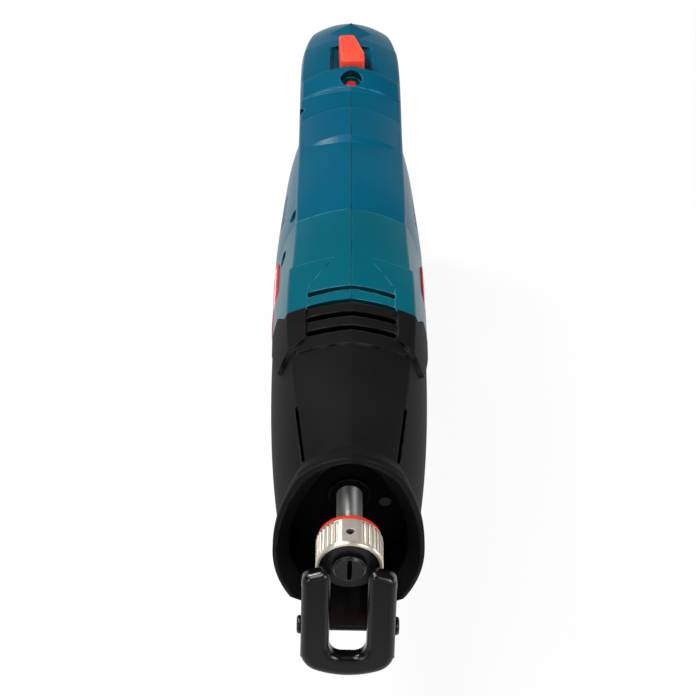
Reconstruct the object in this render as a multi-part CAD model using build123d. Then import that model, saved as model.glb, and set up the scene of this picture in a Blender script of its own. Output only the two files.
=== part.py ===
from build123d import *
import os
from dataclasses import dataclass, fields, replace
from math import asin, atan, cos, degrees, pi, radians, sin, sqrt, tan

# A cordless reciprocating saw, in millimetres. While it is built the plunger runs along Y with its axis
# through the origin, the front of the chuck is at y = 0, the rear is +Y and up is +Z. At the end every piece
# is moved so that the origin is the middle of the battery's base.

# Clearances
RUN = 0.05  # a turning or sliding fit, on the radius
FIT = 0.3  # between pieces that pass each other or are put together
TOUCH = 0.02  # between pieces that are pressed or screwed together
SEAM_GAP = 0.04  # between the two halves of a clamshell, screwed together
BIG = 400.0  # longer than any cut needs to be

# Plunger and blade chuck
PLUNGER_D = 12.5
STROKE = 28.0
SLEEVE_D = 32.0
SLEEVE_L = 17.0
SLEEVE_WALL = 3.6
SLEEVE_FLUTES = 36
FLUTE_R = 1.1
FLUTE_DEPTH = 0.6
LAND_ANGLE = 19.0  # half the angle of the smooth land on top of the sleeve
LAND_W = 8.6
LAND_SINK = 0.5
LAND_HOLE_D = 4.0
RIM_T = 1.6  # wall of the sleeve round its front recess
RIM_DEPTH = 3.0
CAM_L = 6.0  # how far the lower part of the sleeve's front is cut back
CAM_Z = -4.0
CHUCK_RING_L = 3.0
CHUCK_RING_STEP = 0.8  # how much smaller the red ring is than the sleeve, on the radius
CORE_D = 16.0
CORE_NOSE = 1.5
CORE_FLANGE_L = 9.0
BLADE_SLOT_W = 2.2
BLADE_SHANK_H = 13.4
BLADE_DEPTH = 12.6
RETAINER_T = 1.2
RETAINER_SET = 1.2  # front of the sleeve to the washer
LOCK_PIN_D = 3.0
LOCK_PIN_SET = 6.3
LOCK_PIN_TRAVEL = 1.2

# Bell, boot and housing along the plunger axis
BELL_FRONT = 27.0
BELL_DEPTH = 24.0
BELL_LIP = 8.0
MOUTH_DEPTH = 7.0
NECK_L = 14.0  # bell rim to the neck behind it
BOOT_L = 112.0
EAR_L = 14.0  # how much further back the boot reaches low on the sides than on top
EAR_TOP = 36.0
EAR_LOW = 25.0
LOBE_L = 29.0  # raised lobes on the boot's shoulders, forward from its rear edge
LOBE_X = 22.0
LOBE_LOW = 12.0
LOBE_OUT = 1.4  # lobes stand this far out sideways, and this far up
LOBE_UP = 2.4
SADDLE_L = 29.5  # low saddle between the lobes, forward from the boot's rear edge
SADDLE_X = 27.0
SADDLE_UP = 0.9
HOOD_L = 39.0
PAD_RISE = 1.4  # ears stand this far out
PAD_STEP = 1.1
EAR_RAMP = 20.0
EAR_INNER = 9.0  # half the gap between the ears at their rear
GROOVE_W = 1.5
GROOVE_DEPTH = 1.2
FRONT_HOUSING_L = 81.0
BARREL_L = 121.0
BOOT_WALL = 4.0
HOUSING_WALL = 3.2
CASE_WALL = 4.0
CASE_FRONT_T = 13.0
CASE_SCREW_D = 3.7
CASE_SCREWS = [(26.0, 24.0), (-26.0, 24.0), (25.5, -38.0), (-25.5, -38.0)]  # x and z of each
BUSH_WALL = 2.0
SEAL_T = 1.4
LIGHT_D = 6.0
LIGHT_L = 6.0
LIGHT_X = 17.5
LIGHT_Z = -4.5

# Louvres between the ears
LOUVRE_PITCH = 10.3
LOUVRE_SLOT = 4.0
LOUVRE_COUNT = 4
LOUVRE_X = 22.5  # half the length of a slot
LOUVRE_DEPTH = 2.6

# Air slots in both sides, in over the motor and out past the fan
VENT_W = 2.6
VENT_H = 15.0
VENT_PITCH = 7.0
INLET_COUNT = 4
INLET_SET = 32.0  # seam to the first inlet slot
INLET_Z = 7.0
OUTLET_COUNT = 3
OUTLET_Z = -37.0

# Wobble drive
HUB_DROP = 40.0  # plunger axis down to the wobble shaft
HUB_R = 13.0
RING_R = 18.5
RING_W = 12.0
ARM_D = 8.0
ARM_BALL_D = 10.0
WOBBLE_SHAFT_D = 12.0
WOBBLE_BEARING_D = 22.0
BULKHEAD_T = 12.0
BEARING_SEAT = 1.5  # wall left behind a bearing
YOKE_W = 19.0
YOKE_H = 17.0
YOKE_L = 24.0

# Spur gears
MODULE = 1.0
PINION_TEETH = 12
GEAR_TEETH = 42
PRESSURE_ANGLE = 25.0
BACKLASH = 0.24
GEAR_W = 10.0

# Motor
MOTOR_D = 52.0
MOTOR_L = 70.0
MOTOR_WALL = 2.5
MAGNET_T = 2.9
AIR_GAP = 0.6
MOTOR_SHAFT_D = 6.0
MOTOR_BEARING_D = 19.0
MOTOR_REAR_BEARING_D = 16.0
PLATE_T = 8.0
FAN_D = 48.0
FAN_L = 8.0
FAN_BLADES = 13
FAN_HUB_D = 18.0
ARMATURE_SLOTS = 12
SLOT_R = 2.2
WINDING_L = 6.5
COMMUTATOR_D = 20.0
COMMUTATOR_L = 12.0
BRUSH_W = 5.0
BRUSH_L = 6.0
HOLDER_WALL = 1.6
END_CAP_L = 18.0

# Shoe and its bracket
SHOE_W = 44.7
SHOE_SLOT_W = 17.6
SHOE_UP = 35.6  # pivot to the top of the legs, along the shoe
SHOE_DOWN = 24.2
SHOE_SLOT_DOWN = 12.8
SHOE_BOW = 6.0  # how far the lower edge bows down
SHOE_T = 4.0
SHOE_SLOPE = 4.0  # how much higher the legs are inside than outside
SHOE_LIP_L = 3.0  # edges of the slot and the tops, rolled back behind the plate
SHOE_LIP_W = 3.0
SHOE_CORNER_R = 11.0
SHOE_SLOT_R = 6.0
SHOE_TOP_R = 5.0  # outer corners of the legs
SHOE_TIP_R = 3.6  # inner corners of the legs
SHOE_EDGE_R = 3.2
SHOE_REACH = 8.9  # pivot to the front face
SHOE_TILT = 12.0
SHOE_FLANGE_T = 3.2
PIVOT_Y = -8.0
PIVOT_Z = -30.0
PIN_D = 4.4
BRACKET_T = 3.0
BRACKET_W = 20.0
BRACKET_TAIL = 72.0
BRACKET_DROP = 6.0  # pivot down to the bracket's underside
BRACKET_EAR_T = 3.4
BRACKET_EAR_R = 4.4
RIVET_HEAD_D = 8.8
CLAMP_D = 5.0
CLAMP_HEAD_D = 8.8
CLAMP_SET = 6.5  # behind the front of the gear case
CLAMP_SINK = 20.0  # pivot down to the seat of the screw's head

# Handle, foot and battery
GRIP_W = 35.0
GRIP_DEPTH = 44.0
FOOT_W = 71.0
FOOT_T = 16.0
FOOT_Z = -98.0
FOOT_L = 142.0
FOOT_SET = 84.0  # seam to the front of the foot
GRIP_SET = 166.0  # seam to the front of the grip
PAD_T = 1.8
PAD_SET = 29.0  # front of the grip to the front of its pad
PAD_TOP = -10.0
PAD_BOTTOM = -70.0
RAIL_INSET = 8.0
RAIL_STEM_W = 40.0
RAIL_HEAD_W = 50.0
RAIL_STEM_H = 3.0
RAIL_HEAD_H = 4.4
BATTERY_W = 72.0
BATTERY_SET = 4.0  # front of the foot to the front of the battery
BATTERY_L = 128.0
BATTERY_CASE_H = 22.0
BATTERY_BASE_H = 36.0
BATTERY_WALL = 2.2
CELL_D = 18.4
CELL_L = 65.0
CELL_COUNT = 5
BATTERY_CORNER = 9.0
TERMINAL_W = 36.0
TERMINAL_T = 6.0
TERMINAL_X = (-12.0, -4.0, 4.0, 12.0)
BLADE_T = 1.0
CONTACT_W = 4.4
BUTTON_L = 24.0
BUTTON_H = 11.0
BUTTON_T = 2.8
BUTTON_PROUD = 1.2
BUTTON_TRAVEL = 3.0

# Screws that close the clamshells
SCREW_D = 4.0
SCREW_HEAD_D = 7.6
SCREW_SINK = 5.0
BOSS_D = 11.2

# Controls
TRIGGER_W = 16.0
TRIGGER_H = 31.0
TRIGGER_L = 22.0
TRIGGER_Z = -31.0
TRIGGER_OUT = 10.0  # how far it stands out of the grip
TRIGGER_TRAVEL = 7.0
SWITCH_W = 22.0
SWITCH_L = 22.0
SWITCH_INSET = 2.0  # how much lower it is than the trigger, above and below
SPRING_R = 3.0
SPRING_WIRE = 0.8
SPRING_TURNS = 4
SPRING_PITCH = 1.9
LOCK_D = 9.0
LOCK_HALF = 24.0
LOCK_SET = 21.0  # behind the front of the grip
LOCK_Z = 7.0
LOCK_TRAVEL = 4.0
CONTROL_W = 34.0
CONTROL_L = 24.0
CONTROL_H = 24.0
CONTROL_Z = -10.0
SHELF_T = 3.0
LEVER_L = 27.0
LEVER_W = 14.6
LEVER_TIP_W = 9.0
LEVER_H = 14.4
LEVER_WEDGE = 4.0  # slope of the front of the lever, along and down
LEVER_FALL = 3.0
LEVER_ROUND = 1.3
LEVER_TURN = 8.0  # either way from the middle
LEVER_NOSE = 6.5  # pivot to the front of the lever
LEVER_SET = 8.2  # hump to the pivot
LEVER_PIN_D = 6.0
LEVER_FLOOR = 40.2
TROUGH_X = 15.0  # half the width of the trough that the lever lies in, where it meets the top
TROUGH_RISE = 2.6
CAP_SECTIONS = [
    (24.3, 8.0, 40.0, 45.0), (42.3, 20.0, 34.3, 46.5), (69.3, 10.0, 18.0, 26.5),
]  # of the ridged cap behind the lever, as lever pivot to the section, half width, foot and ridge
WELL_D = 12.6
WELL_DEPTH = 6.0
WELL_Y = 127.2  # behind the seam
WELL_TILT = 13.5
WELL_SINK = 0.4  # top of the hump down to the middle of the rim
LENS_D = 5.4

# Places that follow from the sizes
CASE_FRONT = BELL_FRONT + BELL_DEPTH
NECK_Y = BELL_FRONT + NECK_L
BOOT_REAR = BELL_FRONT + BOOT_L
EAR_REAR = BOOT_REAR + EAR_L
HOOD_REAR = BOOT_REAR + HOOD_L
SEAM_Y = BOOT_REAR + FRONT_HOUSING_L
BARREL_REAR = SEAM_Y + BARREL_L
PLUNGER_FRONT = BLADE_DEPTH - CORE_NOSE + 0.5
SWING = degrees(asin(STROKE / 2 / HUB_DROP))
CENTRE_DISTANCE = MODULE * (PINION_TEETH + GEAR_TEETH) / 2
MOTOR_Z = CENTRE_DISTANCE - HUB_DROP
BULKHEAD_Y = CASE_FRONT + 41.0
YOKE_Y = BULKHEAD_Y + BULKHEAD_T + 4.0
HUB_Y = YOKE_Y + YOKE_L / 2 + STROKE / 2
GEAR_Y = YOKE_Y + YOKE_L + STROKE + 3.0
PLATE_Y = GEAR_Y + GEAR_W + 4.0
FAN_Y = PLATE_Y + PLATE_T + 3.0
MOTOR_Y = FAN_Y + FAN_L + 3.0
END_CAP_Y = MOTOR_Y + MOTOR_L
MOTOR_END = END_CAP_Y + END_CAP_L
GRIP_FRONT = SEAM_Y + GRIP_SET
FOOT_FRONT = SEAM_Y + FOOT_SET
FOOT_REAR = FOOT_FRONT + FOOT_L
BATTERY_FRONT = FOOT_FRONT + BATTERY_SET
BATTERY_TOP = FOOT_Z - FIT
BATTERY_SPLIT = BATTERY_TOP - BATTERY_CASE_H
BATTERY_BOTTOM = BATTERY_SPLIT - FIT - BATTERY_BASE_H
BATTERY_MID = BATTERY_FRONT + BATTERY_L / 2
RAIL_Y = BATTERY_FRONT + RAIL_INSET
CLAMP_Y = CASE_FRONT + CLAMP_SET
BRACKET_Z = PIVOT_Z - BRACKET_DROP
TRIGGER_FRONT = GRIP_FRONT - TRIGGER_OUT
LOCK_Y = GRIP_FRONT + LOCK_SET
SWITCH_Y = TRIGGER_FRONT + TRIGGER_L + TRIGGER_TRAVEL + 1.5
SWITCH_LOW = TRIGGER_Z + SWITCH_INSET
SWITCH_HIGH = TRIGGER_Z + TRIGGER_H - SWITCH_INSET
CONTROL_Y = MOTOR_END + 6.0
CONTROL_LOW = CONTROL_Z - CONTROL_H / 2


def block(x0, x1, y0, y1, z0, z1):
    """A box between two corners."""
    return Pos((x0 + x1) / 2, (y0 + y1) / 2, (z0 + z1) / 2) * Box(x1 - x0, y1 - y0, z1 - z0)


def slab(y0, y1):
    """Everything between two planes square to the plunger axis."""
    return block(-BIG, BIG, y0, y1, -BIG, BIG)


def cyl_x(r, x0, x1, y, z):
    return Pos((x0 + x1) / 2, y, z) * Rot(0, 90, 0) * Cylinder(r, x1 - x0)


def cyl_y(r, y0, y1, x=0.0, z=0.0):
    return Pos(x, (y0 + y1) / 2, z) * Rot(90, 0, 0) * Cylinder(r, y1 - y0)


def cyl_z(r, z0, z1, x=0.0, y=0.0):
    return Pos(x, y, (z0 + z1) / 2) * Cylinder(r, z1 - z0)


def tube_y(r_out, r_in, y0, y1, x=0.0, z=0.0):
    return cyl_y(r_out, y0, y1, x, z) - cyl_y(r_in, y0 - 1, y1 + 1, x, z)


def mirrored(shape):
    """The shape and its mirror image across the centre plane, as one group."""
    return Compound([*shape.solids(), *mirror(shape, Plane.YZ).solids()])


def plan(points, z0, z1):
    """A prism whose outline is given from above as (x, y)."""
    face = make_face(Polyline(*[(x, y, z0) for x, y in points], close=True))
    return extrude(face, z1 - z0, dir=(0, 0, 1))


def profile(points, x0, x1):
    """A prism whose outline is given from the side as (y, z)."""
    face = make_face(Polyline(*[(x0, y, z) for y, z in points], close=True))
    return extrude(face, x1 - x0, dir=(1, 0, 0))


def section(points, y0, y1):
    """A prism whose outline is given from the front as (x, z)."""
    face = make_face(Polyline(*[(x, y0, z) for x, z in points], close=True))
    return extrude(face, y1 - y0, dir=(0, 1, 0))


def level_block(z, y0, y1, width, corner, inset=0.0):
    """A level rounded rectangle, one section of the grip, the strut or the foot."""
    face = RectangleRounded(width - 2 * inset, y1 - y0 - 2 * inset, corner - inset)
    return Pos(0, (y0 + y1) / 2, z) * face


@dataclass
class Ring:
    """One section of the body, square to the plunger axis, given by the corners of its right half."""

    y: float
    ridge: float
    edge_w: float
    edge_z: float
    side_w: float
    side_z: float
    keel_w: float
    keel_z: float
    floor: float
    crown: float = 1.5


def between(a, b, y):
    """The section at y on the straight line from one section to another."""
    t = (y - a.y) / (b.y - a.y)
    return Ring(*[getattr(a, f.name) + t * (getattr(b, f.name) - getattr(a, f.name)) for f in fields(Ring)])


def outline(ring, inset=0.0):
    """A section's face: a peaked arch on top, rounded edges, bowed sides and a bowed floor."""

    def at(x, z):
        return Vector(x, ring.y, z)

    top = at(0, ring.ridge - inset)
    edges = []
    corners = []
    for sign in (1, -1):
        edge = at(sign * (ring.edge_w - inset), ring.edge_z - inset)
        side = at(sign * (ring.side_w - inset), ring.side_z)
        keel = at(sign * (ring.keel_w - inset), ring.keel_z + 0.6 * inset)
        chord = edge - top
        out = Vector(-chord.Z * sign, 0, chord.X * sign).normalized()
        edges.append(Edge.make_three_point_arc(top, (top + edge) * 0.5 + out * ring.crown, edge))
        edges.append(Edge.make_tangent_arc(side, Vector(0, 0, 1), edge))
        edges.append(Edge.make_tangent_arc(side, Vector(0, 0, -1), keel))
        corners += [edge, keel]
    edges.append(Edge.make_three_point_arc(corners[1], at(0, ring.floor + inset), corners[3]))
    face = Face(Wire(edges))
    sharp = [v for v in face.vertices() if min((v.center() - c).length for c in corners) < 0.01]
    return face.fillet_2d(max(2.5 - 0.4 * inset, 0.8), sharp)


def body(rings, inset=0.0):
    return loft([outline(ring, inset) for ring in rings])


# Sections of the boot and the front housing
NECK = Ring(NECK_Y, 40.5, 22.5, 28.5, 34, -13, 20.5, -47, -54, 2.3)
SHOULDER = Ring(NECK_Y + 38, 43.5, 26.5, 33.5, 38, -10, 23, -58, -67, 1.9)
EAR = Ring(BOOT_REAR, 47.5, 31, 38, 40.2, -8, 25, -64, -74)
HOOD = Ring(HOOD_REAR, 48.5, 30.5, 38.5, 40.2, -8, 25, -64, -73)
SEAM = Ring(SEAM_Y, 47, 29.2, 37, 40, -8, 25, -54, -62)
FRONT_RINGS = [NECK, SHOULDER, EAR, HOOD, SEAM]
RIM = Ring(BELL_FRONT + 5, 44, 25.2, 30.5, 36.8, -18, 28, -49.5, -56.5, 3.0)

# Sections of the motor barrel, which stands out below the top bar
BARREL_RINGS = [
    Ring(SEAM_Y, 40, 26.5, 33, 40, -8, 25, -54, -62),
    Ring(SEAM_Y + 30, 39.5, 26.5, 32.5, 39.8, -8, 24, -50, -58),
    Ring(SEAM_Y + 66, 39, 26, 32, 37.2, -8, 21, -45, -53),
    Ring(SEAM_Y + 102, 37, 24, 30, 32.6, -6, 16, -35, -41),
    Ring(BARREL_REAR, 33, 19, 26, 25, -4, 12, -18, -22),
]

# Sections of the top bar and of the rounded rear end of the handle
BAR_END = Ring(SEAM_Y + 175, 43.5, 27, 34, 29.2, 19, 21, 8, 4)
BAR_RINGS = [
    Ring(SEAM_Y, 47, 29.2, 37, 29.6, 24, 21, 12, 8),
    Ring(SEAM_Y + 60, 45.2, 29.2, 35.6, 29.5, 22, 21, 11, 7.5),
    Ring(SEAM_Y + 118, 43.7, 28.9, 34.2, 29.3, 22, 21, 11, 7.5),
    Ring(SEAM_Y + 146, 44.5, 28.6, 34.4, 29.4, 21, 21, 10, 6.5),
    BAR_END,
]
END_RINGS = [
    BAR_END,
    Ring(SEAM_Y + 192, 40.3, 23.5, 32.5, 28, 16, 19, 2, -2),
    Ring(SEAM_Y + 204, 35.5, 19.5, 29, 25.5, 12, 17, -2, -6),
    Ring(SEAM_Y + 213, 28, 14, 23.5, 20.5, 9, 13, -3, -7),
    Ring(SEAM_Y + 219, 17, 7.5, 14.5, 12, 5, 7, -2, -4),
]

# Raised parts of the handle's top: a low band and the hump with the lens
BAND_RINGS = [
    Ring(SEAM_Y + 66, 44.6, 27, 34.6, 28, 22, 21, 14, 12, 1.8),
    Ring(SEAM_Y + 70, 47, 28, 35.2, 28.6, 22, 21, 14, 12, 2.0),
    Ring(SEAM_Y + 98.5, 46, 28, 34.8, 28.6, 22, 21, 14, 12, 1.9),
]
HUMP_RINGS = [
    Ring(SEAM_Y + 118.5, 43.4, 27, 33.4, 28, 22, 21, 15, 13, 1.6),
    Ring(SEAM_Y + 121.5, 45.6, 28.0, 35, 28.4, 22, 21, 15, 13, 1.8),
    Ring(SEAM_Y + 134, 48.6, 28.0, 37, 28.4, 22, 21, 15, 13, 1.8),
    Ring(SEAM_Y + 136.5, 48.8, 28.0, 37, 28.4, 22, 21, 15, 13, 1.8),
]
LEVER_PIVOT_Y = HUMP_RINGS[-1].y + LEVER_SET

# Level sections of the grip and the front strut, as z, front, rear, width, corner
GRIP_LEVELS = [
    (14, GRIP_FRONT, GRIP_FRONT + GRIP_DEPTH + 3, GRIP_W + 11, 18),
    (-14, GRIP_FRONT + 3.5, GRIP_FRONT + GRIP_DEPTH + 7, GRIP_W + 3, 16),
    (-45, GRIP_FRONT + 7.5, GRIP_FRONT + GRIP_DEPTH + 7.5, GRIP_W, 15.5),
    (-72, GRIP_FRONT + 5, GRIP_FRONT + GRIP_DEPTH + 10, GRIP_W + 4, 16),
    (-90, GRIP_FRONT - 4, FOOT_REAR, GRIP_W + 23, 14),
]
STRUT_LEVELS = [
    (-28, FOOT_FRONT - 16, FOOT_FRONT + 18, 50, 10),
    (-60, FOOT_FRONT - 6, FOOT_FRONT + 24, 46, 11),
    (-90, FOOT_FRONT, FOOT_FRONT + 34, 58, 12),
]


def level_loft(levels, inset=0.0):
    return loft([level_block(z, y0, y1, w, c, inset) for z, y0, y1, w, c in levels])


def spring(coil_r, wire_d, turns, pitch):
    """A round-wire spring along Z from the origin, made of arcs of a quarter turn."""

    def at(quarter):
        angle = quarter * pi / 2
        return Vector(coil_r * cos(angle), coil_r * sin(angle), pitch * quarter / 4)

    arcs = [Edge.make_three_point_arc(at(i), at(i + 0.5), at(i + 1)) for i in range(int(turns * 4))]
    path = Wire(arcs)
    end = Plane(origin=path @ 0, z_dir=path % 0)
    print("spring gap", round(pitch * cos(atan(pitch / (2 * pi * coil_r))) - wire_d, 2))
    return sweep(end * Circle(wire_d / 2), path=path)


def spur_gear(teeth, mate_up, bore, y0, y1, z):
    """A spur gear on Y. A tooth points down, or a gap points up, so that the two gears mesh."""
    pitch_r = MODULE * teeth / 2
    base_r = pitch_r * cos(radians(PRESSURE_ANGLE))
    tip_r = pitch_r + MODULE
    root_r = pitch_r - 1.25 * MODULE
    half = pi / (2 * teeth) - BACKLASH / (4 * pitch_r)

    def involute(r):
        if r <= base_r:
            return 0.0
        roll = sqrt((r / base_r) ** 2 - 1)
        return roll - atan(roll)

    lowest = [root_r] if base_r <= root_r else [root_r, base_r]
    rows = [*lowest, pitch_r - 0.3 * MODULE, pitch_r + 0.35 * MODULE, tip_r]
    flank = [(r, half + involute(pitch_r) - involute(r)) for r in rows]
    start = pi / 2 + pi / teeth if mate_up else -pi / 2
    points = []
    for tooth in range(teeth):
        middle = start + 2 * pi * tooth / teeth
        points += [(r, middle - a) for r, a in flank]
        points += [(r, middle + a) for r, a in reversed(flank)]
    outline_points = [(r * cos(a), y0, z + r * sin(a)) for r, a in points]
    face = make_face(Polyline(*outline_points, close=True))
    return extrude(face, y1 - y0, dir=(0, 1, 0)) - cyl_y(bore, y0 - 1, y1 + 1, 0, z)


def bearing(r_out, r_in, y0, y1, z):
    """A ball bearing as one closed ring with its two side grooves."""
    groove_r = (r_out - r_in) * 0.28
    mid = (r_out + r_in) / 2
    ring = tube_y(r_out, r_in, y0, y1, 0, z)
    for a, b in ((y0 - 1, y0 + 0.5), (y1 - 0.5, y1 + 1)):
        ring -= tube_y(mid + groove_r, mid - groove_r, a, b, 0, z)
    return ring


def chuck():
    """The blade chuck at the front of the plunger: core, washer, fluted sleeve, red ring and lock pin."""
    core_r = CORE_D / 2
    bore_r = SLEEVE_D / 2 - SLEEVE_WALL
    sleeve_front = 0.5
    sleeve_rear = sleeve_front + SLEEVE_L
    flange_rear = sleeve_rear + 1.5
    flange_front = flange_rear - CORE_FLANGE_L
    core = cyl_y(core_r, -CORE_NOSE, flange_front + 1)
    core = chamfer(core.edges().group_by(Axis.Y)[0], 1.2)
    core += cyl_y(bore_r - 2 * RUN, flange_front, flange_rear)
    slot_w = BLADE_SLOT_W / 2
    slot_h = BLADE_SHANK_H / 2
    core -= block(-slot_w, slot_w, -BIG, BLADE_DEPTH - CORE_NOSE, -slot_h, slot_h)
    core -= cyl_y(PLUNGER_D / 2 + TOUCH, PLUNGER_FRONT, flange_rear + 1)

    r = SLEEVE_D / 2
    recess_r = r - RIM_T
    washer_y = sleeve_front + RETAINER_SET
    retainer = tube_y(recess_r - FIT, core_r + RUN, washer_y, washer_y + RETAINER_T)

    sleeve = cyl_y(r, sleeve_front, sleeve_rear)
    sleeve = fillet(sleeve.edges().filter_by(GeomType.CIRCLE), 0.9)
    sleeve -= cyl_y(bore_r, -BIG, BIG)
    sleeve -= cyl_y(recess_r, -BIG, sleeve_front + RIM_DEPTH)
    flutes = []
    step = (360 - 2 * LAND_ANGLE) / SLEEVE_FLUTES
    for i in range(SLEEVE_FLUTES):
        angle = radians(90 + LAND_ANGLE + (i + 0.5) * step)
        reach = r + FLUTE_R - FLUTE_DEPTH
        x = reach * cos(angle)
        flutes.append(cyl_y(FLUTE_R, sleeve_front + 1.8, sleeve_rear - 1.0, x, reach * sin(angle)))
    sleeve -= flutes
    sleeve -= block(-LAND_W / 2, LAND_W / 2, sleeve_front + 1.8, BIG, r - LAND_SINK, BIG)
    sleeve -= cyl_z(LAND_HOLE_D / 2, 0, r + 1, 0, sleeve_front + SLEEVE_L / 2)
    sleeve -= block(-r, r, -BIG, sleeve_front + CAM_L, -BIG, CAM_Z)

    ring = cyl_y(r - CHUCK_RING_STEP, sleeve_rear + TOUCH, sleeve_rear + CHUCK_RING_L)
    ring = fillet(ring.edges().group_by(Axis.Y)[-1], 0.8)
    ring -= cyl_y(bore_r, -BIG, BIG)

    pin_y = sleeve_front + LOCK_PIN_SET
    lock_pin = cyl_x(LOCK_PIN_D / 2, 0.3, bore_r - LOCK_PIN_TRAVEL - FIT, pin_y, 0)
    lock_pin = fillet(lock_pin.edges().filter_by(GeomType.CIRCLE), 0.5)
    core -= cyl_x(LOCK_PIN_D / 2 + RUN, 0, core_r + 1, pin_y, 0)
    return core, retainer, sleeve, ring, lock_pin


def plunger_bar():
    """The plunger with its yoke, whose bore flares downwards for the swinging drive arm."""
    rear = YOKE_Y + YOKE_L
    bar = cyl_y(PLUNGER_D / 2, PLUNGER_FRONT + TOUCH, YOKE_Y + 1)
    yoke = block(-YOKE_W / 2, YOKE_W / 2, YOKE_Y, rear, -YOKE_H / 2, YOKE_H / 2)
    yoke = fillet(yoke.edges().filter_by(Axis.Y), 3.0)
    bar += yoke
    ball_r = ARM_BALL_D / 2 + 0.45
    middle = YOKE_Y + YOKE_L / 2
    bar -= cyl_z(ball_r, -YOKE_H, 6.4, 0, middle)
    flare_h = YOKE_H / 2 - 1.5
    flare = Cone(ball_r + flare_h * tan(radians(SWING)) * 0.8, ball_r, flare_h)
    bar -= Pos(0, middle, -YOKE_H / 2 + flare_h / 2 - 0.01) * flare
    return bar


def wobble():
    """The wobble shaft with its ball hub, and the ring with the arm, which rests swung forward."""
    shaft_y0 = BULKHEAD_Y + BEARING_SEAT + FIT
    shaft_y1 = PLATE_Y + PLATE_T - BEARING_SEAT - FIT
    shaft = cyl_y(WOBBLE_SHAFT_D / 2, shaft_y0, shaft_y1, 0, -HUB_DROP)
    shaft += Pos(0, HUB_Y, -HUB_DROP) * Sphere(HUB_R)
    bore_r = HUB_R + FIT
    ring = tube_y(RING_R, 1.0, -RING_W / 2, RING_W / 2) - Sphere(bore_r)
    ring += cyl_z(ARM_D / 2, HUB_R + 3.0, HUB_DROP)
    ring += Cone(ARM_D / 2 + 3.0, ARM_D / 2, 6.0).moved(Location((0, 0, RING_R + 2.0)))
    ring += Pos(0, 0, HUB_DROP) * Sphere(ARM_BALL_D / 2)
    ring -= Sphere(bore_r)
    ring = Pos(0, HUB_Y, -HUB_DROP) * Rot(SWING, 0, 0) * ring
    gear = spur_gear(GEAR_TEETH, True, WOBBLE_SHAFT_D / 2 + TOUCH, GEAR_Y, GEAR_Y + GEAR_W, -HUB_DROP)
    return shaft, ring, gear


def gear_case():
    """The cast case inside the boot: front wall, bulkhead and the bores for what it carries."""
    outer = body(FRONT_RINGS, BOOT_WALL + FIT) & slab(CASE_FRONT, PLATE_Y)
    cavity = body(FRONT_RINGS, BOOT_WALL + FIT + CASE_WALL)
    case = outer - (cavity & slab(CASE_FRONT + CASE_FRONT_T, BULKHEAD_Y))
    case -= cavity & slab(BULKHEAD_Y + BULKHEAD_T, PLATE_Y + 1)
    case -= cyl_y(PLUNGER_D / 2 + BUSH_WALL + TOUCH, CASE_FRONT - 1, BULKHEAD_Y + BULKHEAD_T + 1)
    seat_y = BULKHEAD_Y + BEARING_SEAT
    case -= cyl_y(WOBBLE_BEARING_D / 2 + TOUCH, seat_y, BULKHEAD_Y + BULKHEAD_T + 1, 0, -HUB_DROP)
    half = BRACKET_W / 2 + FIT
    z0 = BRACKET_Z - FIT
    case -= block(-half, half, CASE_FRONT - 1, CASE_FRONT + CASE_FRONT_T + 1, z0, z0 + BRACKET_T + 2 * FIT)
    case -= cyl_y(LIGHT_D / 2 + TOUCH, CASE_FRONT - 1, CASE_FRONT + LIGHT_L, LIGHT_X, LIGHT_Z)
    case -= cyl_z(CLAMP_D / 2 + 2 * RUN, -BIG, PIVOT_Z, 0, CLAMP_Y)
    case -= cyl_z(CLAMP_HEAD_D / 2 + FIT, -BIG, PIVOT_Z - CLAMP_SINK, 0, CLAMP_Y)
    for x, z in CASE_SCREWS:
        case -= cyl_y(CASE_SCREW_D / 2 + RUN, PLATE_Y - 14.0, PLATE_Y + 1, x, z)
    return case


def bearing_plate():
    """The plate that closes the gear case and carries the rear wobble bearing and the front motor bearing."""
    plate = body(FRONT_RINGS, BOOT_WALL + FIT) & slab(PLATE_Y + TOUCH, PLATE_Y + PLATE_T)
    back = PLATE_Y + PLATE_T
    plate -= cyl_y(WOBBLE_BEARING_D / 2 + TOUCH, PLATE_Y - 1, back - BEARING_SEAT, 0, -HUB_DROP)
    plate -= cyl_y(MOTOR_BEARING_D / 2 + TOUCH, PLATE_Y - 1, back - BEARING_SEAT, 0, MOTOR_Z)
    plate -= cyl_y(MOTOR_SHAFT_D / 2 + 1.0, PLATE_Y - 1, back + 1, 0, MOTOR_Z)
    screw_r = CASE_SCREW_D / 2
    screws = []
    for x, z in CASE_SCREWS:
        plate -= cyl_y(screw_r + FIT, PLATE_Y - 1, back + 1, x, z)
        screw = cyl_y(screw_r, PLATE_Y - 12.0, back + 1, x, z)
        screw += cyl_y(1.9 * screw_r, back + TOUCH, back + 3.0, x, z)
        screw -= cyl_y(0.85 * screw_r, back + 1.4, back + 4.0, x, z)
        screws.append(screw)
    return plate, Compound([s.solid() for s in screws])


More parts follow.
